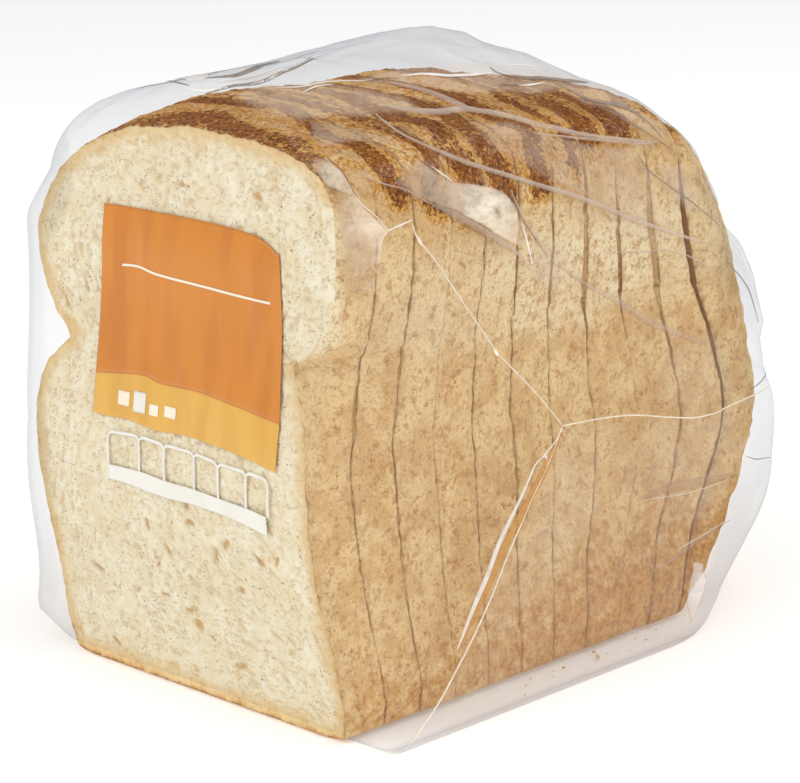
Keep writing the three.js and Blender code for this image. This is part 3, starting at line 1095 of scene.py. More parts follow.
def on_grid(grid, row, column):
    """The grid's value at a fractional row and column, blended from the four around it."""
    row = np.clip(row, 0.0, FILM_ROWS - 1.001)
    low_row = np.floor(row).astype(int)
    low_column = np.floor(column).astype(int)
    row_part = (row - low_row)[..., None]
    column_part = (column - low_column)[..., None]
    left = low_column % FILM_COLUMNS
    right = (low_column + 1) % FILM_COLUMNS
    near = blend(grid[low_row, left], grid[low_row, right], column_part)
    far = blend(grid[low_row + 1, left], grid[low_row + 1, right], column_part)
    return blend(near, far, row_part)


film_pixels = project(film_smooth + SHIFT)
film_facing = ((cam_place - film_smooth - SHIFT) * film_normals).sum(-1) > 0
film_facing[:rows_of_panel] = True


def film_place(pixels):
    """Rows and columns of the near side of the film at photo pixels."""
    pixels = np.asarray(pixels, dtype=float)
    coarse = film_pixels[::3, ::3].copy()
    coarse[~film_facing[::3, ::3]] = 1e6
    gap = np.linalg.norm(coarse.reshape(1, -1, 2) - pixels[:, None, :], axis=-1)
    row, column = np.unravel_index(gap.argmin(1), coarse.shape[:2])
    row, column = row * 3.0, column * 3.0
    for _ in range(10):
        error = pixels - on_grid(film_pixels, row, column)
        row_way = on_grid(film_pixels, row + 0.5, column) - on_grid(film_pixels, row - 0.5, column)
        column_way = on_grid(film_pixels, row, column + 0.5) - on_grid(film_pixels, row, column - 0.5)
        scale = row_way[:, 0] * column_way[:, 1] - row_way[:, 1] * column_way[:, 0]
        scale = np.where(np.abs(scale) < 1e-3, 1e9, scale)
        row_step = (error[:, 0] * column_way[:, 1] - error[:, 1] * column_way[:, 0]) / scale
        column_step = (row_way[:, 0] * error[:, 1] - row_way[:, 1] * error[:, 0]) / scale
        row = row + np.clip(row_step, -3, 3)
        column = column + np.clip(column_step, -3, 3)
        row = np.clip(row, 0.6, FILM_ROWS - 1.7)
    return row, column


# %% Patches of milky haze with painted glare, and of painted shade, on the film
# milky haze of slack film, in part painted glare of the lamps
HAZE_AND_GLARE_PATCHES = [
    ("right of the weld", [(563, 428), (545, 470), (520, 528), (496, 582), (466, 648), (436, 706),
     (480, 740), (700, 660), (690, 560), (650, 470), (622, 424)], 0.15, 4),
    ("beside the weld", [(575, 440), (525, 540), (480, 640), (500, 650), (560, 580), (610, 500)],
     0.24, 16),
    ("above the right arm", [(660, 350), (715, 330), (745, 395), (700, 412), (655, 405)], 0.16, 10),
    ("behind the right arm", [(640, 425), (742, 402), (735, 470), (690, 530), (640, 500)], 0.24, 12),
    ("over the crest", [(234, 96), (260, 107), (284, 116), (302, 120), (313, 116), (380, 113), (425, 115),
     (400, 98), (345, 90), (290, 84), (250, 86)], 0.38, 3),
    ("far crest", [(352, 84), (392, 74), (432, 66), (469, 64), (516, 63), (573, 73), (616, 89),
     (668, 142), (640, 128), (612, 108), (573, 98), (553, 94), (480, 93), (400, 90)], 0.38, 4),
    ("far shoulder", [(467, 124), (514, 126), (551, 135), (596, 145), (637, 151), (648, 169), (656, 198),
     (666, 224), (645, 218), (604, 204), (573, 190), (547, 177), (520, 160), (490, 142)], 0.27, 3),
    ("second slice", [(310, 121), (325, 121), (361, 132), (393, 136), (386, 140), (352, 140), (325, 145),
     (315, 134)], 0.32, 2),
    ("left of the glare", [(398, 182), (420, 157), (434, 168), (452, 180), (476, 184), (484, 224),
     (462, 213), (448, 208), (434, 203), (416, 196)], 0.42, 3),
    ("under the long fold", [(540, 196), (640, 226), (690, 250), (640, 240), (560, 214)], 0.16, 5),
    ("over the lobes", [(400, 300), (470, 300), (500, 350), (440, 360), (360, 350)], 0.12, 16),
    ("pale lobe", [(530, 258), (556, 240), (576, 262), (560, 290), (532, 282)], 0.3, 5),
    ("behind the fold", [(655, 160), (676, 166), (690, 190), (702, 214), (690, 210), (668, 190)],
     0.36, 3),
]
# painted shade: what is seen through the film is dimmed here
FILM_SHADE_PATCHES = [
    ("right margin", [(690, 150), (730, 200), (780, 330), (780, 420), (740, 560), (690, 660), (700, 600),
     (745, 430), (740, 330), (715, 230)], 0.5, 6),
    ("right facet", [(716, 215), (745, 268), (762, 330), (742, 322), (726, 270)], 0.7, 3),
    ("left margin", [(20, 180), (60, 110), (75, 190), (45, 260), (45, 420), (60, 640), (20, 620)],
     0.45, 8),
    ("left facet", [(48, 128), (66, 118), (70, 150), (44, 190), (36, 186)], 0.6, 3),
    ("tent facet", [(100, 92), (150, 78), (170, 84), (205, 94), (150, 112), (104, 130)], 0.08, 4),
    ("tent ridge", [(300, 54), (420, 30), (470, 44), (430, 66), (330, 72)], 0.12, 6),
]


def inside_distance(points, corners):
    """Signed distance in pixels to a polygon's edge: above 0 inside it."""
    inside = np.zeros(points.shape[:-1], dtype=bool)
    nearest = np.full(points.shape[:-1], 1e9)
    for start, end in zip(corners, np.roll(corners, -1, axis=0)):
        along = end - start
        share = np.clip(((points - start) @ along) / (along @ along), 0.0, 1.0)
        distance = np.linalg.norm(points - start - share[..., None] * along, axis=-1)
        nearest = np.minimum(nearest, distance)
        crosses = (start[1] > points[..., 1]) != (end[1] > points[..., 1])
        level = start[0] + (points[..., 1] - start[1]) * along[0] / (along[1] if along[1] else 1e-9)
        inside ^= crosses & (points[..., 0] < level)
    return np.where(inside, nearest, -nearest)


def patch_marks(patches):
    """The strongest of some patches at each point of the film, with edges softened by noise."""
    total = np.zeros(film_smooth.shape[:2])
    wobble = 5.0 * cloud(film_smooth, 7.0, 132)
    for _, corners, strength, softness in patches:
        depth = inside_distance(film_pixels, np.array(corners, dtype=float)) + wobble * softness / 12
        total = np.maximum(total, strength * smooth(depth, -softness, softness) * film_facing)
    return total


def film_haze_and_glare():
    """Share of haze and painted glare at each point of the film: its patches, and a little on every facet.
    """
    faint = 0.02 + 0.02 * facets(film_smooth[..., [1, 2]], 15.0, 131)
    return np.maximum(patch_marks(HAZE_AND_GLARE_PATCHES), faint) * smooth(film_smooth[..., 2], 0.0, 3.0)


# %% [markdown]
# ## Film finish
#
# Clear film does three things: it lets most light through, a little dimmer where it is
# seen edge on; it mirrors the lamps, more at a grazing angle; and where it is creased or
# rubbed it scatters a milky light. Each is one layer: a dimmed Transparent shader over a
# clear one, a Glossy one over both and a milky one on top, so no refraction is traced.
# The milky layer is laid on by patches: milky haze, and in part painted glare of the
# lamps. Other patches dim the film with painted shade where it looks grey.

# %% Film finish


def film_finish():
    """Clear, dimmed by angle and by painted shade, a mirror by angle, milky with haze and painted glare."""
    f = Finish("film")
    facing = f.node("ShaderNodeLayerWeight", {}, {"Blend": 0.35}, output="Facing")
    # the shade mark is painted shade, dimming what is seen through the film
    dimmed = (facing ** 1.6).larger(f.mark("film_shade"))
    body = f.layer(f.clear((251, 251, 251)), f.clear((218, 220, 223)), dimmed)
    ripple = f.grain(3.0, 2.0, 0.5, f.stretched((1.0, 0.35, 1.0)))
    bump = f.bump(ripple, 0.1, 0.4 * MM)
    mirror = f.node("ShaderNodeBsdfGlossy", {}, {"Color": WHITE, "Roughness": 0.13, "Normal": bump})
    body = f.layer(body, mirror, (facing ** 4.0) * 0.1 + 0.012)
    milky = f.surface((220, 200, 178), 0.5, {"Normal": bump})
    # milky haze and painted glare, laid on by the patches
    mottled = f.mark("haze_and_painted_light") * (f.grain(5.0, 3.0, 0.6).between(0.3, 0.7) * 0.5 + 0.65)
    return f.output(f.layer(body, milky, mottled))


film_clear = film_finish()

# %% The film bag
front_pole = np.array([0.0, float(film_front(END_CENTRE_HEIGHT)), END_CENTRE_HEIGHT])
front_pole[1] += float(panel_ripple(np.array(0.0), np.array(END_CENTRE_HEIGHT)))
back_pole = np.array([0.0, float(film_back(END_CENTRE_HEIGHT)), END_CENTRE_HEIGHT])
film_points = np.vstack([film_grid.reshape(-1, 3), front_pole, back_pole]) + SHIFT
film_faces = ring_faces(FILM_ROWS, FILM_COLUMNS, FILM_ROWS * FILM_COLUMNS, FILM_ROWS * FILM_COLUMNS + 1)
film_marks = {
    "haze_and_painted_light": np.append(film_haze_and_glare().ravel(), [0.02, 0.02]),
    "film_shade": np.append(patch_marks(FILM_SHADE_PATCHES).ravel(), [0.0, 0.0]),
}
film_bag = make_piece("film_bag", film_points, film_faces, [film_clear], film_marks)
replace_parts(film_bag, "bread_bag")

# %% [markdown]
# ## Weld and folds
#
# The bag is welded from two webs, and the weld shows as a thin white Y on its right side:
# a flattened tube that tapers to a point at both ends, carried along a smooth path on the
# film's grid. A pinched fold is a narrow strip of doubled film along such a path, with a
# width at each knot, and a glaring facet is a sheet that fills a polygon on the film. Some
# strips are milky with a painted sheen, some carry a painted highlight, some painted shade,
# and one beside the weld a painted shadow; the facets carry painted glare.

# %% Beads, bands and patches on the film
BAND_COLUMNS = 5
FOLD_THICKNESS = 0.03
FILM_TEAR = (497, 213)
FILM_TEAR_SIZE = (2.5, 6.5)


def bead_mesh(knots, width, height, swell=0.25):
    """A flattened tube along a path on the film, with an oval section that tapers at its ends."""
    path = through_knots(np.stack(film_place(knots), axis=-1), 14, closed=False)
    middle = on_grid(film_grid, path[:, 0], path[:, 1])
    normal = on_grid(film_normals, path[:, 0], path[:, 1])
    for _ in range(12):
        middle[1:-1] = 0.5 * middle[1:-1] + 0.25 * (middle[2:] + middle[:-2])
    along = np.gradient(middle, axis=0)
    along /= np.linalg.norm(along, axis=1, keepdims=True)
    beside = np.cross(along, normal)
    beside /= np.linalg.norm(beside, axis=1, keepdims=True)
    share = np.linspace(0.0, 1.0, len(path))
    taper = np.minimum(1.0, np.minimum(share, 1.0 - share) / swell) ** 0.6
    taper = np.clip(taper, 0.04, 1.0)[:, None, None]
    angle = np.linspace(0.0, 2 * math.pi, 8, endpoint=False)[None, :, None]
    grid = middle[:, None, :] + beside[:, None, :] * np.cos(angle) * width / 2 * taper
    grid = grid + normal[:, None, :] * (np.sin(angle) * height * taper + 0.25 * height)
    count = grid.shape[0] * grid.shape[1]
    points = np.vstack([grid.reshape(-1, 3), middle[:1], middle[-1:]])
    faces = ring_faces(grid.shape[0], grid.shape[1], count, count + 1)
    return points, [part[:, ::-1] for part in faces]


def patch_pixels(corners, rings=12, steps=14):
    """Pixels of rings that grow from a patch's middle out to its straight edges, the middle last."""
    share = np.linspace(0.0, 1.0, steps, endpoint=False)[None, :, None]
    sides = np.roll(corners, -1, axis=0) - corners
    border = (corners[:, None] + sides[:, None] * share).reshape(-1, 2)
    middle = corners.mean(0)
    out = 1.0 - (1.0 - np.linspace(0.0, 1.0, rings + 1)[1:, None, None]) ** 2
    return np.vstack([(middle + (border - middle) * out).reshape(-1, 2), middle[None]]), len(border)


def patch_mesh(corners, rings=12, lift=0.3):
    """A sheet with straight edges in the picture: rings from its middle out to them, on the film."""
    pixels, count = patch_pixels(np.array(corners, dtype=float), rings)
    row, column = film_place(pixels)
    points = on_grid(film_grid, row, column) + on_grid(film_normals, row, column) * lift
    return points, ring_faces(rings, count, rings * count, 0)[:2]


def patch_glare(corners, strength, centre, reach, fade):
    """Painted glare of a patch: a bell round its brightest spot, faded in, with a ragged edge and a tear.
    """
    pixels, _ = patch_pixels(np.array(corners, dtype=float))
    distance = np.hypot((pixels[:, 0] - centre[0]) / reach, (pixels[:, 1] - centre[1]) / reach)
    from_tear = (pixels - FILM_TEAR) / FILM_TEAR_SIZE
    tear = np.exp(-(from_tear[:, 0] ** 2 + from_tear[:, 1] ** 2))
    bell = blend(0.16, 1.0, np.exp(-(distance**2)))
    border = inside_distance(pixels, np.array(corners, dtype=float)) + 1.2 * cloud(pixels, 5.0, 133)
    patchy = 1.0 + 0.25 * cloud(pixels, 13.0, 134)
    edges = smooth(pixels[:, 0], *fade) * smooth(border, 0.0, 3.0)
    return np.clip(strength * bell * patchy, 0.0, 0.92) * (1.0 - tear) * edges


def band_mesh(knots, widths, across=BAND_COLUMNS, lift=0.22):
    """A strip of film along a path in the picture, its width in pixels given at the path's knots."""
    knots = np.array(knots, dtype=float)
    path = through_knots(knots, 10, closed=False)
    along = np.gradient(path, axis=0)
    beside = np.stack([-along[:, 1], along[:, 0]], axis=-1)
    beside /= np.linalg.norm(beside, axis=1, keepdims=True)
    width = np.interp(np.linspace(0.0, 1.0, len(path)), np.linspace(0.0, 1.0, len(widths)), widths)
    step = np.linspace(-0.5, 0.5, across)
    pixels = path[:, None] + beside[:, None] * (step[None, :] * width[:, None])[..., None]
    row, column = film_place(pixels.reshape(-1, 2))
    points = on_grid(film_grid, row, column) + on_grid(film_normals, row, column) * lift
    return points, sheet_faces(len(path), across)


def join(name, meshes, material, haze_and_painted_light, wall=0.0):
    """Several meshes as one piece, each with its share of haze and painted light, one or one a point; a
    wall closes sheets.
    """
    starts = np.cumsum([0] + [len(points) for points, _ in meshes[:-1]])
    faces = [part + start for (_, parts), start in zip(meshes, starts) for part in parts]
    points = np.vstack([points for points, _ in meshes]) + SHIFT
    marks = np.concatenate([np.full(len(part), value) for (part, _), value in zip(meshes, haze_and_painted_light)])
    piece = make_piece(name, points, faces, [material], {"haze_and_painted_light": marks})
    if wall:
        thickness = piece.modifiers.new("thickness", "SOLIDIFY")
        thickness.thickness = wall * MM
    return piece


# %% Finishes of the weld and of the folds


def crease_finish(name, colour, roughness, see_through, mottle=0.25, glow=0.0):
    """Doubled film: part clear, part coloured (milky, painted highlight, painted shade), uneven along its
    length; painted glare glows a little.
    """
    f = Finish(name)
    crinkle = f.grain(2.6, 3.0, 0.6, f.stretched((1.0, 0.5, 1.0)))
    others = {
        "Normal": f.bump(crinkle, 0.35, 0.5 * MM),
        "Specular IOR Level": 0.3,
        "Emission Color": colour,
        "Emission Strength": glow,
    }
    share = f.mark("haze_and_painted_light") * (crinkle.between(0.38, 0.6) * mottle + (1.0 - mottle * 0.6))
    return f.output(f.layer(f.clear(see_through), f.surface(colour, roughness, others), share))


weld = crease_finish("weld", (255, 244, 226), 0.3, (250, 248, 244))
# milky doubled film, partly a painted sheen
pale_fold = crease_finish("pale_fold", (222, 204, 188), 0.45, (246, 242, 238))
# painted highlight: white streaks on folds and on glossy patches
fold_highlight = crease_finish("fold_highlight", (252, 249, 244), 0.4, (250, 248, 246))
glare_film = crease_finish("glare_film", (246, 234, 214), 0.6, (252, 250, 247), 0.5, glow=0.08)
shade_fold = crease_finish("shade_fold", (176, 162, 150), 0.5, (216, 210, 204))
# painted shadow of a fold: a brown tint over the crust beside the weld
fold_shadow_film = crease_finish("fold_shadow_film", (214, 166, 104), 0.6, (252, 243, 230), mottle=0.5)

# %% The weld's three arms
WELD_CENTRE = (563, 426)
WELD_ARMS = [
    [WELD_CENTRE, (541, 399), (515, 371), (496, 351), (474, 318), (454, 288), (437, 263), (417, 240),
     (411, 223)],
    [WELD_CENTRE, (598, 419), (633, 415), (665, 417), (700, 418), (726, 408), (751, 397), (768, 387)],
    [WELD_CENTRE, (548, 462), (528, 506), (508, 556), (488, 604), (464, 654), (438, 704), (410, 744)],
]
WELD_WIDTH = 0.34
WELD_HEIGHT = 0.22
arms = [bead_mesh(knots, WELD_WIDTH, WELD_HEIGHT, swell=0.03) for knots in WELD_ARMS]
KNOTS_OF_WELD = [[(494, 349), (496, 353), (498, 356)], [(415, 236), (418, 241), (421, 246)]]
arms += [bead_mesh(knots, 0.8, 0.4, swell=0.5) for knots in KNOTS_OF_WELD]
join("side_weld", arms, weld, [0.62, 0.8, 0.85, 0.9, 0.8])

# %% Bands of doubled film


def band_sheets(bands, profile):
    """Meshes of some bands and the haze of each, which changes across it by a profile."""
    meshes = [band_mesh(knots, widths) for knots, widths, _ in bands]
    haze_and_painted_light = [np.tile(np.array(profile) * strength, len(points) // BAND_COLUMNS)
            for (points, _), (*_, strength) in zip(meshes, bands)]
    return meshes, haze_and_painted_light


def bands_piece(name, bands, profile, material):
    """All bands of one kind as one piece."""
    meshes, haze_and_painted_light = band_sheets(bands, profile)
    return join(name, meshes, material, haze_and_painted_light, wall=FOLD_THICKNESS)


CRISP_TOP = (1.0, 0.85, 0.7, 0.5, 0.2)
EVEN = (0.6, 1.0, 1.0, 1.0, 0.6)
# milky doubled film; the long streaks over the top also carry a painted sheen
PALE_BANDS = [
    ([(375, 115), (393, 128), (424, 144), (467, 162), (513, 177), (572, 196), (637, 221), (702, 243)],
     [1.0, 2.0, 3.0, 5.0, 5.0, 5.5, 6.0, 2.0], 0.5),
    ([(378, 108), (424, 114), (467, 113), (510, 120), (560, 130), (600, 137), (655, 143)],
     [2.0, 6.0, 6.0, 5.0, 5.5, 5.0, 2.0], 0.52),
    ([(388, 88), (424, 96), (452, 106), (467, 112)], [1.0, 5.0, 6.0, 3.0], 0.45),
    ([(532, 133), (580, 138), (640, 143), (660, 141)], [1.0, 3.0, 5.0, 2.0], 0.5),
    ([(436, 204), (463, 219), (501, 242), (522, 260)], [7.0, 9.0, 7.0, 2.0], 0.38),
    ([(557, 265), (584, 284), (616, 301), (649, 322), (704, 345)], [1.5, 5.0, 7.0, 8.0, 3.0], 0.26),
    ([(345, 165), (380, 182), (405, 190), (430, 203), (450, 212)], [1.0, 2.0, 2.5, 1.5, 1.0], 0.4),
    ([(452, 250), (480, 256), (503, 254)], [1.0, 2.0, 1.0], 0.2),
    ([(512, 192), (523, 218), (535, 237), (548, 256), (557, 267)], [1.0, 2.5, 2.5, 2.0, 1.0], 0.4),
    ([(612, 252), (640, 252), (668, 251), (700, 262), (722, 278)], [1.0, 2.5, 2.0, 3.0, 1.0], 0.32),
    ([(648, 572), (676, 556), (703, 536), (728, 520)], [1.0, 5.0, 5.0, 1.0], 0.2),
    ([(634, 500), (668, 488), (700, 482), (734, 474)], [2.0, 10.0, 10.0, 3.0], 0.17),
]
bands_piece("folds_pale", PALE_BANDS, CRISP_TOP, pale_fold)

SHADE_BANDS = [
    ([(206, 94), (231, 87), (258, 82), (279, 75), (300, 65), (317, 60)], [1.0, 3.0, 4.0, 4.0, 3.0, 1.0],
     0.34),
    ([(204, 78), (234, 75), (256, 67), (280, 60)], [1.0, 4.0, 5.0, 0.6], 0.12),
    ([(165, 77), (174, 82), (190, 86)], [0.8, 2.2, 0.8], 0.5),
    ([(490, 68), (506, 75), (543, 80), (569, 81), (588, 84)], [0.8, 1.6, 4.5, 3.5, 0.8], 0.5),
    ([(553, 87), (573, 95), (612, 105), (631, 111), (649, 123), (663, 138)],
     [0.8, 2.0, 2.4, 2.0, 1.5, 0.8], 0.66),
    ([(500, 86), (511, 86.5), (522, 86)], [0.8, 2.2, 0.8], 0.75),
    ([(594, 103), (629, 122), (659, 141), (673, 149)], [0.6, 1.3, 1.3, 0.6], 0.5),
    ([(636, 153), (647, 170), (668, 186), (693, 203), (710, 217), (720, 227)],
     [0.6, 1.3, 1.3, 1.4, 1.2, 0.6], 0.6),
    ([(341, 84), (370, 83.5), (398, 84)], [0.6, 1.1, 0.6], 0.5),
    ([(509, 188), (520, 216), (533, 238), (546, 257)], [0.6, 1.2, 1.0, 0.6], 0.35),
    ([(418, 158), (428, 164), (436, 169)], [0.6, 1.4, 0.6], 0.4),
    ([(327, 158), (342, 172), (357, 198)], [0.8, 1.6, 0.8], 0.3),
    ([(743, 456), (754, 459), (765, 457)], [0.6, 1.2, 0.6], 0.4),
    ([(752, 390), (762, 382), (769, 372)], [0.6, 1.2, 0.6], 0.4),
    ([(728, 262), (744, 288), (757, 322)], [0.6, 1.2, 0.6], 0.35),
]
bands_piece("folds_shaded", SHADE_BANDS, EVEN, shade_fold)

# white streaks of painted highlight along the folds
HIGHLIGHT_BANDS = [
    ([(176, 77), (190, 75), (208, 74)], [1.0, 3.0, 1.0], 0.8),
    ([(186, 88), (204, 91), (228, 88)], [1.0, 2.5, 1.0], 0.8),
    ([(250, 84), (274, 77), (293, 66)], [1.0, 3.5, 1.0], 0.8),
    ([(278, 88), (308, 89), (339, 85), (372, 84)], [0.6, 1.6, 1.2, 0.4], 0.7),
    ([(302, 95), (316, 91), (332, 90)], [0.6, 1.6, 0.5], 0.8),
    ([(400, 81), (441, 78), (475, 75), (492, 72)], [0.8, 3.0, 3.0, 0.8], 0.85),
    ([(518, 87), (531, 86), (543, 85)], [0.6, 2.0, 0.6], 0.8),
    ([(510, 64), (525, 65), (539, 67)], [0.6, 1.4, 0.6], 0.7),
    ([(387, 231), (398, 226), (411, 220)], [1.0, 1.8, 0.8], 0.9),
    ([(387, 231), (380, 241), (379, 262)], [1.0, 1.6, 0.6], 0.7),
    ([(342, 172), (357, 200), (375, 218), (387, 231)], [0.6, 1.3, 1.3, 1.0], 0.6),
    ([(521, 222), (526, 245), (530, 264)], [0.8, 1.8, 0.8], 0.85),
    ([(432, 166), (442, 173), (453, 181)], [0.8, 1.8, 0.8], 0.7),
    ([(677, 549), (701, 535), (722, 522)], [0.6, 1.2, 0.6], 0.36),
    ([(640, 500), (690, 492), (726, 479)], [0.5, 1.0, 0.5], 0.3),
    ([(541, 458), (533, 468), (519, 500), (508, 524), (496, 551), (486, 577), (475, 602), (463, 632),
     (456, 650)], [1.2, 1.6, 3.0, 4.0, 5.0, 5.0, 4.5, 3.0, 0.8], 0.5),
    ([(563, 428), (556, 440), (546, 452), (541, 458)], [0.6, 1.0, 1.4, 1.2], 0.7),
    ([(541, 458), (545, 456), (546, 461)], [1.0, 1.6, 1.0], 0.8),
    ([(728, 222), (742, 262), (756, 300)], [0.6, 2.0, 0.6], 0.5),
]
bands_piece("folds_highlight", HIGHLIGHT_BANDS, EVEN, fold_highlight)

# %% The painted shadow of the fold beside the weld's lower arm
WELD_FOLD_SHADOW = [
    ([(562, 432), (552, 452), (541, 474), (526, 504), (512, 532), (498, 562), (486, 590), (474, 615),
     (460, 646)], [1.0, 5.0, 7.5, 7.5, 7.0, 7.0, 5.5, 4.0, 1.0], 0.46),
]
bands_piece("weld_fold_shadow", WELD_FOLD_SHADOW, EVEN, fold_shadow_film)

# %% [markdown]
# ## Glare and veils
#
# Where a flat facet of slack film turns towards a lamp it goes white and hides the bread
# behind it. A reflection there would need the very lamps of the studio, so each facet is a
# painted reflection: a milky sheet on the film, brightest at one spot and torn open where
# the film is; the glare sheets glow a little.

# %% Glare and gloss patches
GLARE_PATCHES = [
    ([(418, 158), (432, 168), (452, 181), (475, 183), (503, 190), (511, 197), (516, 208), (521, 222),
     (519, 250), (512, 245), (497, 236), (480, 226), (462, 214), (450, 209), (436, 204), (420, 198),
     (400, 184)], 0.7, (490, 210), 30.0, (384, 440)),
    ([(322, 158), (334, 165), (342, 172), (350, 185), (357, 200), (366, 212), (375, 220), (387, 231),
     (381, 242), (380, 262), (383, 288), (362, 296), (345, 290), (336, 262), (334, 225), (333, 200),
     (326, 180)], 0.46, (370, 222), 30.0, (328, 356)),
    ([(306, 160), (316, 157), (327, 158), (340, 170), (353, 188), (354, 198), (340, 193), (328, 187),
     (316, 172)], 0.34, (345, 180), 40.0, (304, 330)),
]
GLOSS_PATCHES = [
    ([(216, 84), (250, 79), (288, 67), (330, 52), (322, 57), (284, 71), (250, 82)], 0.6, (270, 74),
     60.0, (200, 220)),
    ([(692, 559), (702, 563), (706, 583), (700, 603), (690, 625), (684, 600)], 0.36, (696, 586),
     26.0, (670, 680)),
    ([(174, 76), (190, 72), (212, 74), (206, 82), (190, 84)], 0.5, (190, 78), 30.0, (160, 174)),
]


def patches_piece(name, patches, material):
    """All patches of one kind as one piece."""
    meshes = [patch_mesh(corners) for corners, *_ in patches]
    join(name, meshes, material, [patch_glare(*patch) for patch in patches], wall=FOLD_THICKNESS)


patches_piece("glare_patches", GLARE_PATCHES, glare_film)
patches_piece("gloss_patches", GLOSS_PATCHES, fold_highlight)

# %% [markdown]
# ## Print
#
# The print is ink on the outside of the flat end: an orange field over a yellow band, a
# thin cream rule, small pale squares and a white outlined table. Each shape is a sheet
# whose lower and upper edges are curves over x; it takes its depth from the film panel and
# stands a hair in front of it.

# %% Ink finishes


def ink_finish(name, colour, shade, cover):
    """Printed film: a base colour with soft upright bands of shade and a glossy face."""
    f = Finish(name)
    band = f.grain(7.0, 2.0, 0.5, f.stretched((1.0, 1.0, 0.12))).between(0.4, 0.66)
    painted = f.paint(colour, shade, band * 0.6)
    painted = f.paint(painted, shade, f.grain(0.7, 1.0).between(0.6, 0.8) * 0.15)
    ink = f.surface(painted, 0.35, {"Coat Weight": 0.12, "Coat Roughness": 0.15})
    return f.output(f.layer(f.clear(WHITE), ink, cover))


orange_ink = ink_finish("orange_ink", (210, 130, 33), (192, 109, 26), 0.98)
yellow_ink = ink_finish("yellow_ink", (226, 174, 76), (212, 156, 60), 0.97)
cream_ink = ink_finish("cream_ink", (250, 238, 214), (244, 228, 200), 0.95)
white_ink = ink_finish("white_ink", (244, 241, 232), (238, 234, 224), 0.86)

# %% Printed shapes
INK_LIFT = 0.12
INK_THICKNESS = 0.05
RULE_WIDTH = 0.56


def printed(name, x, lower, upper, material, layer=1, rows=40):
    """A sheet between two edges over x, at the film panel's depth less its layer's lift."""
    share = np.linspace(0.0, 1.0, rows)[:, None]
    z = blend(lower[None, :], upper[None, :], share)
    across = np.broadcast_to(x[None, :], z.shape)
    depth = film_front(z) + panel_ripple(across, z) - INK_LIFT * layer
    points = np.stack([across, depth, z], axis=-1).reshape(-1, 3) + SHIFT
    piece = make_piece(name, points, sheet_faces(rows, len(x)), [material])
    wall = piece.modifiers.new("ink thickness", "SOLIDIFY")
    wall.thickness = INK_THICKNESS * MM
    return piece


def edge_through(knots, x):
    """A smooth edge over x through a few knots of x and z."""
    curve = through_knots(np.array(knots, dtype=float), 12, closed=False)
    return np.interp(x, curve[:, 0], curve[:, 1])


FIELD_LEFT = -26.0
FIELD_RIGHT = 36.4
FIELD_TOP = [
    (FIELD_LEFT, 110.4), (-10, 110.6), (7, 110.5), (22, 109.8), (28, 108.6), (31.7, 106.8), (33.6, 103.0),
    (FIELD_RIGHT, 71),
]
FIELD_WAVE = [
    (FIELD_LEFT, 72.2), (-14, 73.7), (-8.5, 74.1), (-3, 73.2), (10, 73.5), (23, 72.3), (FIELD_RIGHT, 70.9),
]
BAND_FOOT = [
    (FIELD_LEFT, 63.2), (-20, 63.3), (-13, 63.6), (-6, 62.9), (-1, 62.9), (5, 63.4), (11, 63.3), (25, 62.3),
    (FIELD_RIGHT, 60.6),
]
RULE = [
    (-19, 97.4), (-12.8, 97.8), (-5.8, 96.9), (7.8, 96.5), (21, 96.0), (31, 95.8),
]
field_x = np.linspace(FIELD_LEFT, FIELD_RIGHT, 120)
field_top = edge_through(FIELD_TOP, field_x)
field_wave = edge_through(FIELD_WAVE, field_x)
band_foot = edge_through(BAND_FOOT, field_x)
printed("print_field", field_x, field_wave, field_top, orange_ink)
printed("print_band", field_x, band_foot, field_wave, yellow_ink)
rule_x = np.linspace(RULE[0][0], RULE[-1][0], 90)
rule_z = edge_through(RULE, rule_x)
rule_foot, rule_top = rule_z - RULE_WIDTH / 2, rule_z + RULE_WIDTH / 2
printed("print_rule", rule_x, rule_foot, rule_top, cream_ink, layer=2, rows=3)

# %% Squares and the table
SQUARES = [
    (-17.4, -13.4, 66.5, 69.7), (-11.9, -7.7, 65.8, 70.4), (-6.3, -3.2, 65.9, 68.4),
    (-1.2, 2.8, 66.3, 68.8),
]
for number, (left, right, foot, top) in enumerate(SQUARES, 1):
    square_x = np.linspace(left, right, 12)
    ink = white_ink if number == 2 else cream_ink
    printed(f"print_square_{number}", square_x, np.full(12, foot), np.full(12, top), ink, layer=2, rows=8)

TABLE_LEFT = -20.4
TABLE_RIGHT = 34.0
TABLE_TOP = [
    (-20.4, 60.2), (-9.4, 60.8), (-0.7, 60.5), (9.5, 60.4), (17.5, 59.6), (26.8, 59.4), (34.0, 59.0),
]
TABLE_FOOT = [
    (-20.8, 52.2), (-9.4, 52.5), (-0.7, 52.0), (9.5, 51.9), (17.5, 51.4), (26.8, 51.0), (34.0, 50.3),
]
STRIP_FOOT = [
    (-20.8, 48.7), (-13.0, 48.7), (-6.9, 48.1), (1.3, 48.0), (10.8, 48.2), (24.4, 47.2), (33.4, 45.9),
]
DIVIDERS = [TABLE_LEFT, -9.4, -0.7, 9.5, 17.5, 26.8, TABLE_RIGHT]
LINE = 0.72
CORNER = 1.6


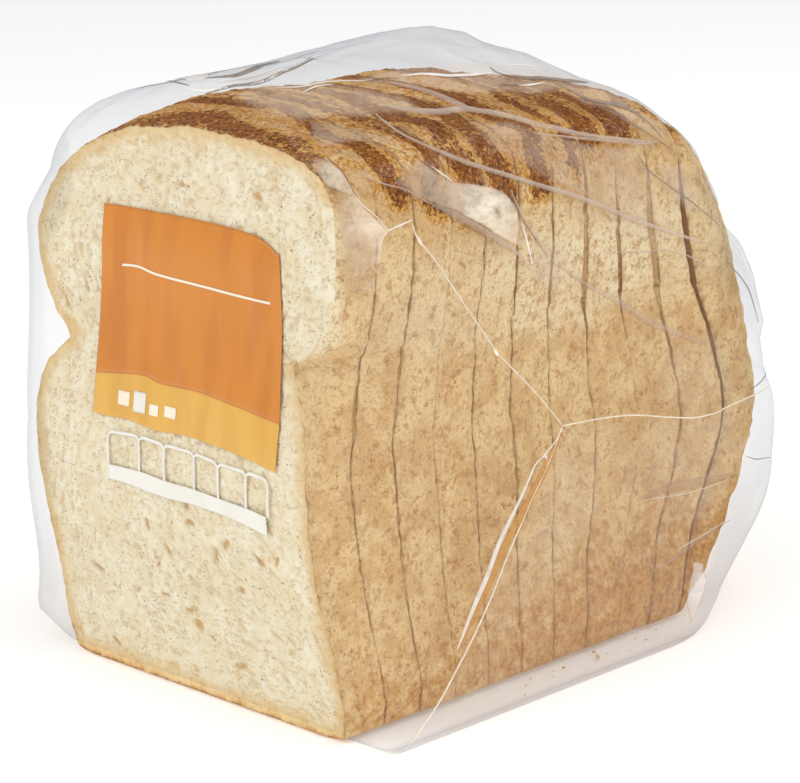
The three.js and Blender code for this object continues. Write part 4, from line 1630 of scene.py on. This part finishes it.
def table_lines():
    """The table's outline and dividers; each cell's top corners are rounded by thicker line ends."""
    x = np.linspace(TABLE_LEFT, TABLE_RIGHT, 260)
    top = edge_through(TABLE_TOP, x)
    foot = edge_through(TABLE_FOOT, x)
    to_divider = np.abs(x[:, None] - np.array(DIVIDERS)).min(1)
    round_off = CORNER - np.sqrt(np.maximum(CORNER**2 - np.maximum(CORNER - to_divider, 0.0) ** 2, 0.0))
    printed("print_table_top", x, top - LINE - round_off, top - 0.8 * round_off, white_ink, rows=4)
    strip_x = np.linspace(TABLE_LEFT, STRIP_FOOT[-1][0], 120)
    strip_foot = edge_through(STRIP_FOOT, strip_x)
    strip_top = edge_through(TABLE_FOOT, strip_x)
    printed("print_table_strip", strip_x, strip_foot, strip_top, white_ink, rows=12)
    for number, middle in enumerate(DIVIDERS, 1):
        bar_x = np.linspace(middle - LINE / 2, middle + LINE / 2, 3)
        low, high = np.interp(bar_x, x, foot), np.interp(bar_x, x, top - CORNER * 0.8)
        printed(f"print_divider_{number}", bar_x, low, high, white_ink, rows=12)


table_lines()

# %% [markdown]
# ## Loose crumbs
#
# Slicing leaves crumbs, which gather in the bottom of the bag. Each is a small rough lump:
# a ball of a few dozen faces whose points are pushed in and out by noise.

# %% Crumbs in the bag's foot
LUMP_RINGS = 4
LUMP_COLUMNS = 7


def crumb_lump(middle, size, seed):
    """A ball of rings and columns, its radius pushed in and out by noise."""
    polar = np.linspace(0.0, math.pi, LUMP_RINGS + 2)[1:-1, None]
    turn = np.linspace(0.0, 2 * math.pi, LUMP_COLUMNS, endpoint=False)[None, :]
    way = np.stack([
        np.sin(polar) * np.cos(turn),
        np.cos(polar) * np.ones_like(turn),
        -np.sin(polar) * np.sin(turn),
    ], axis=-1)
    radius = size * (1.0 + 0.35 * cloud(way * 2.0 + seed, 1.1, seed))
    points = middle + way * radius[..., None] * [1.0, 1.0, 0.7]
    ends = middle + np.array([[0.0, size, 0.0], [0.0, -size, 0.0]])
    count = LUMP_RINGS * LUMP_COLUMNS
    faces = [part[:, ::-1] for part in ring_faces(LUMP_RINGS, LUMP_COLUMNS, count, count + 1)]
    return np.vstack([points.reshape(-1, 3), ends]), faces


def foot_crumbs(count):
    """Crumbs scattered along the bag's right foot and a few along its front."""
    index = np.arange(count)
    chance = [scatter(np.stack([index, np.full(count, n)], axis=-1), 17) * 0.5 + 0.5 for n in range(4)]
    size = 0.22 + 0.35 * chance[2] ** 3
    x = blend(49.8, 57.5, chance[0])
    y = blend(4.0, 98.0, chance[1])
    z = 0.35 + size * 0.6
    return [crumb_lump(np.array([x[i], y[i], z[i]]), size[i], int(i)) for i in range(count)]


lumps = foot_crumbs(16)
join("loose_crumbs", lumps, crumb, [0.0] * len(lumps))

# %% [markdown]
# ## Studio
#
# A pale floor, an even bright surround and large soft lamps: one over the left shoulder of
# the camera for the cut face, one from the right, and a long narrow one above, whose
# light runs along the film's folds.

# %% Floor, surround and lamps
FLOOR_REACH = 6.0
FLOOR_DROP = 0.0002
FLOOR_WHITE = (252.745, 252.745, 252.745)
floor_corners = [(x * FLOOR_REACH, y * FLOOR_REACH, 0) for x, y in ((-1, -1), (1, -1), (1, 1), (-1, 1))]
floor_mesh = bpy.data.meshes.new("floor")
floor_mesh.from_pydata(floor_corners, [], [(0, 1, 2, 3)])
floor = bpy.data.objects.new("floor", floor_mesh)
bpy.context.scene.collection.objects.link(floor)
floor_finish = Finish("floor")
floor_glow = {"Emission Color": WHITE, "Emission Strength": 0.22}
floor_mesh.materials.append(floor_finish.output(
    floor_finish.surface(FLOOR_WHITE, 0.8, floor_glow)
))
floor.location.z = -FLOOR_DROP

world = bpy.data.worlds.new("studio")
bpy.context.scene.world = world
world.use_nodes = True
surround = world.node_tree.nodes["Background"].inputs
surround["Color"].default_value = linear(WHITE)
surround["Strength"].default_value = 0.6


def lamp(name, place, aim, size, power):
    """A rectangular soft lamp at a place in metres, turned to its aim."""
    data = bpy.data.lights.new(name, "AREA")
    data.shape = "RECTANGLE"
    data.size, data.size_y = size
    data.energy = power
    thing = bpy.data.objects.new(name, data)
    thing.location = place
    thing.rotation_mode = "QUATERNION"
    thing.rotation_quaternion = (Vector(aim) - Vector(place)).to_track_quat("-Z", "Y")
    bpy.context.scene.collection.objects.link(thing)
    return thing


lamp("key", (-0.35, -1.1, 0.9), (0, 0, 0.06), (0.9, 0.9), 6.7)
lamp("side", (1.2, -0.2, 0.7), (0, 0, 0.06), (0.5, 1.0), 3.0)
lamp("overhead", (0.45, 0.5, 1.1), (0, 0, 0.1), (0.4, 1.2), 4.0)
bpy.context.scene.view_settings.view_transform = "Standard"
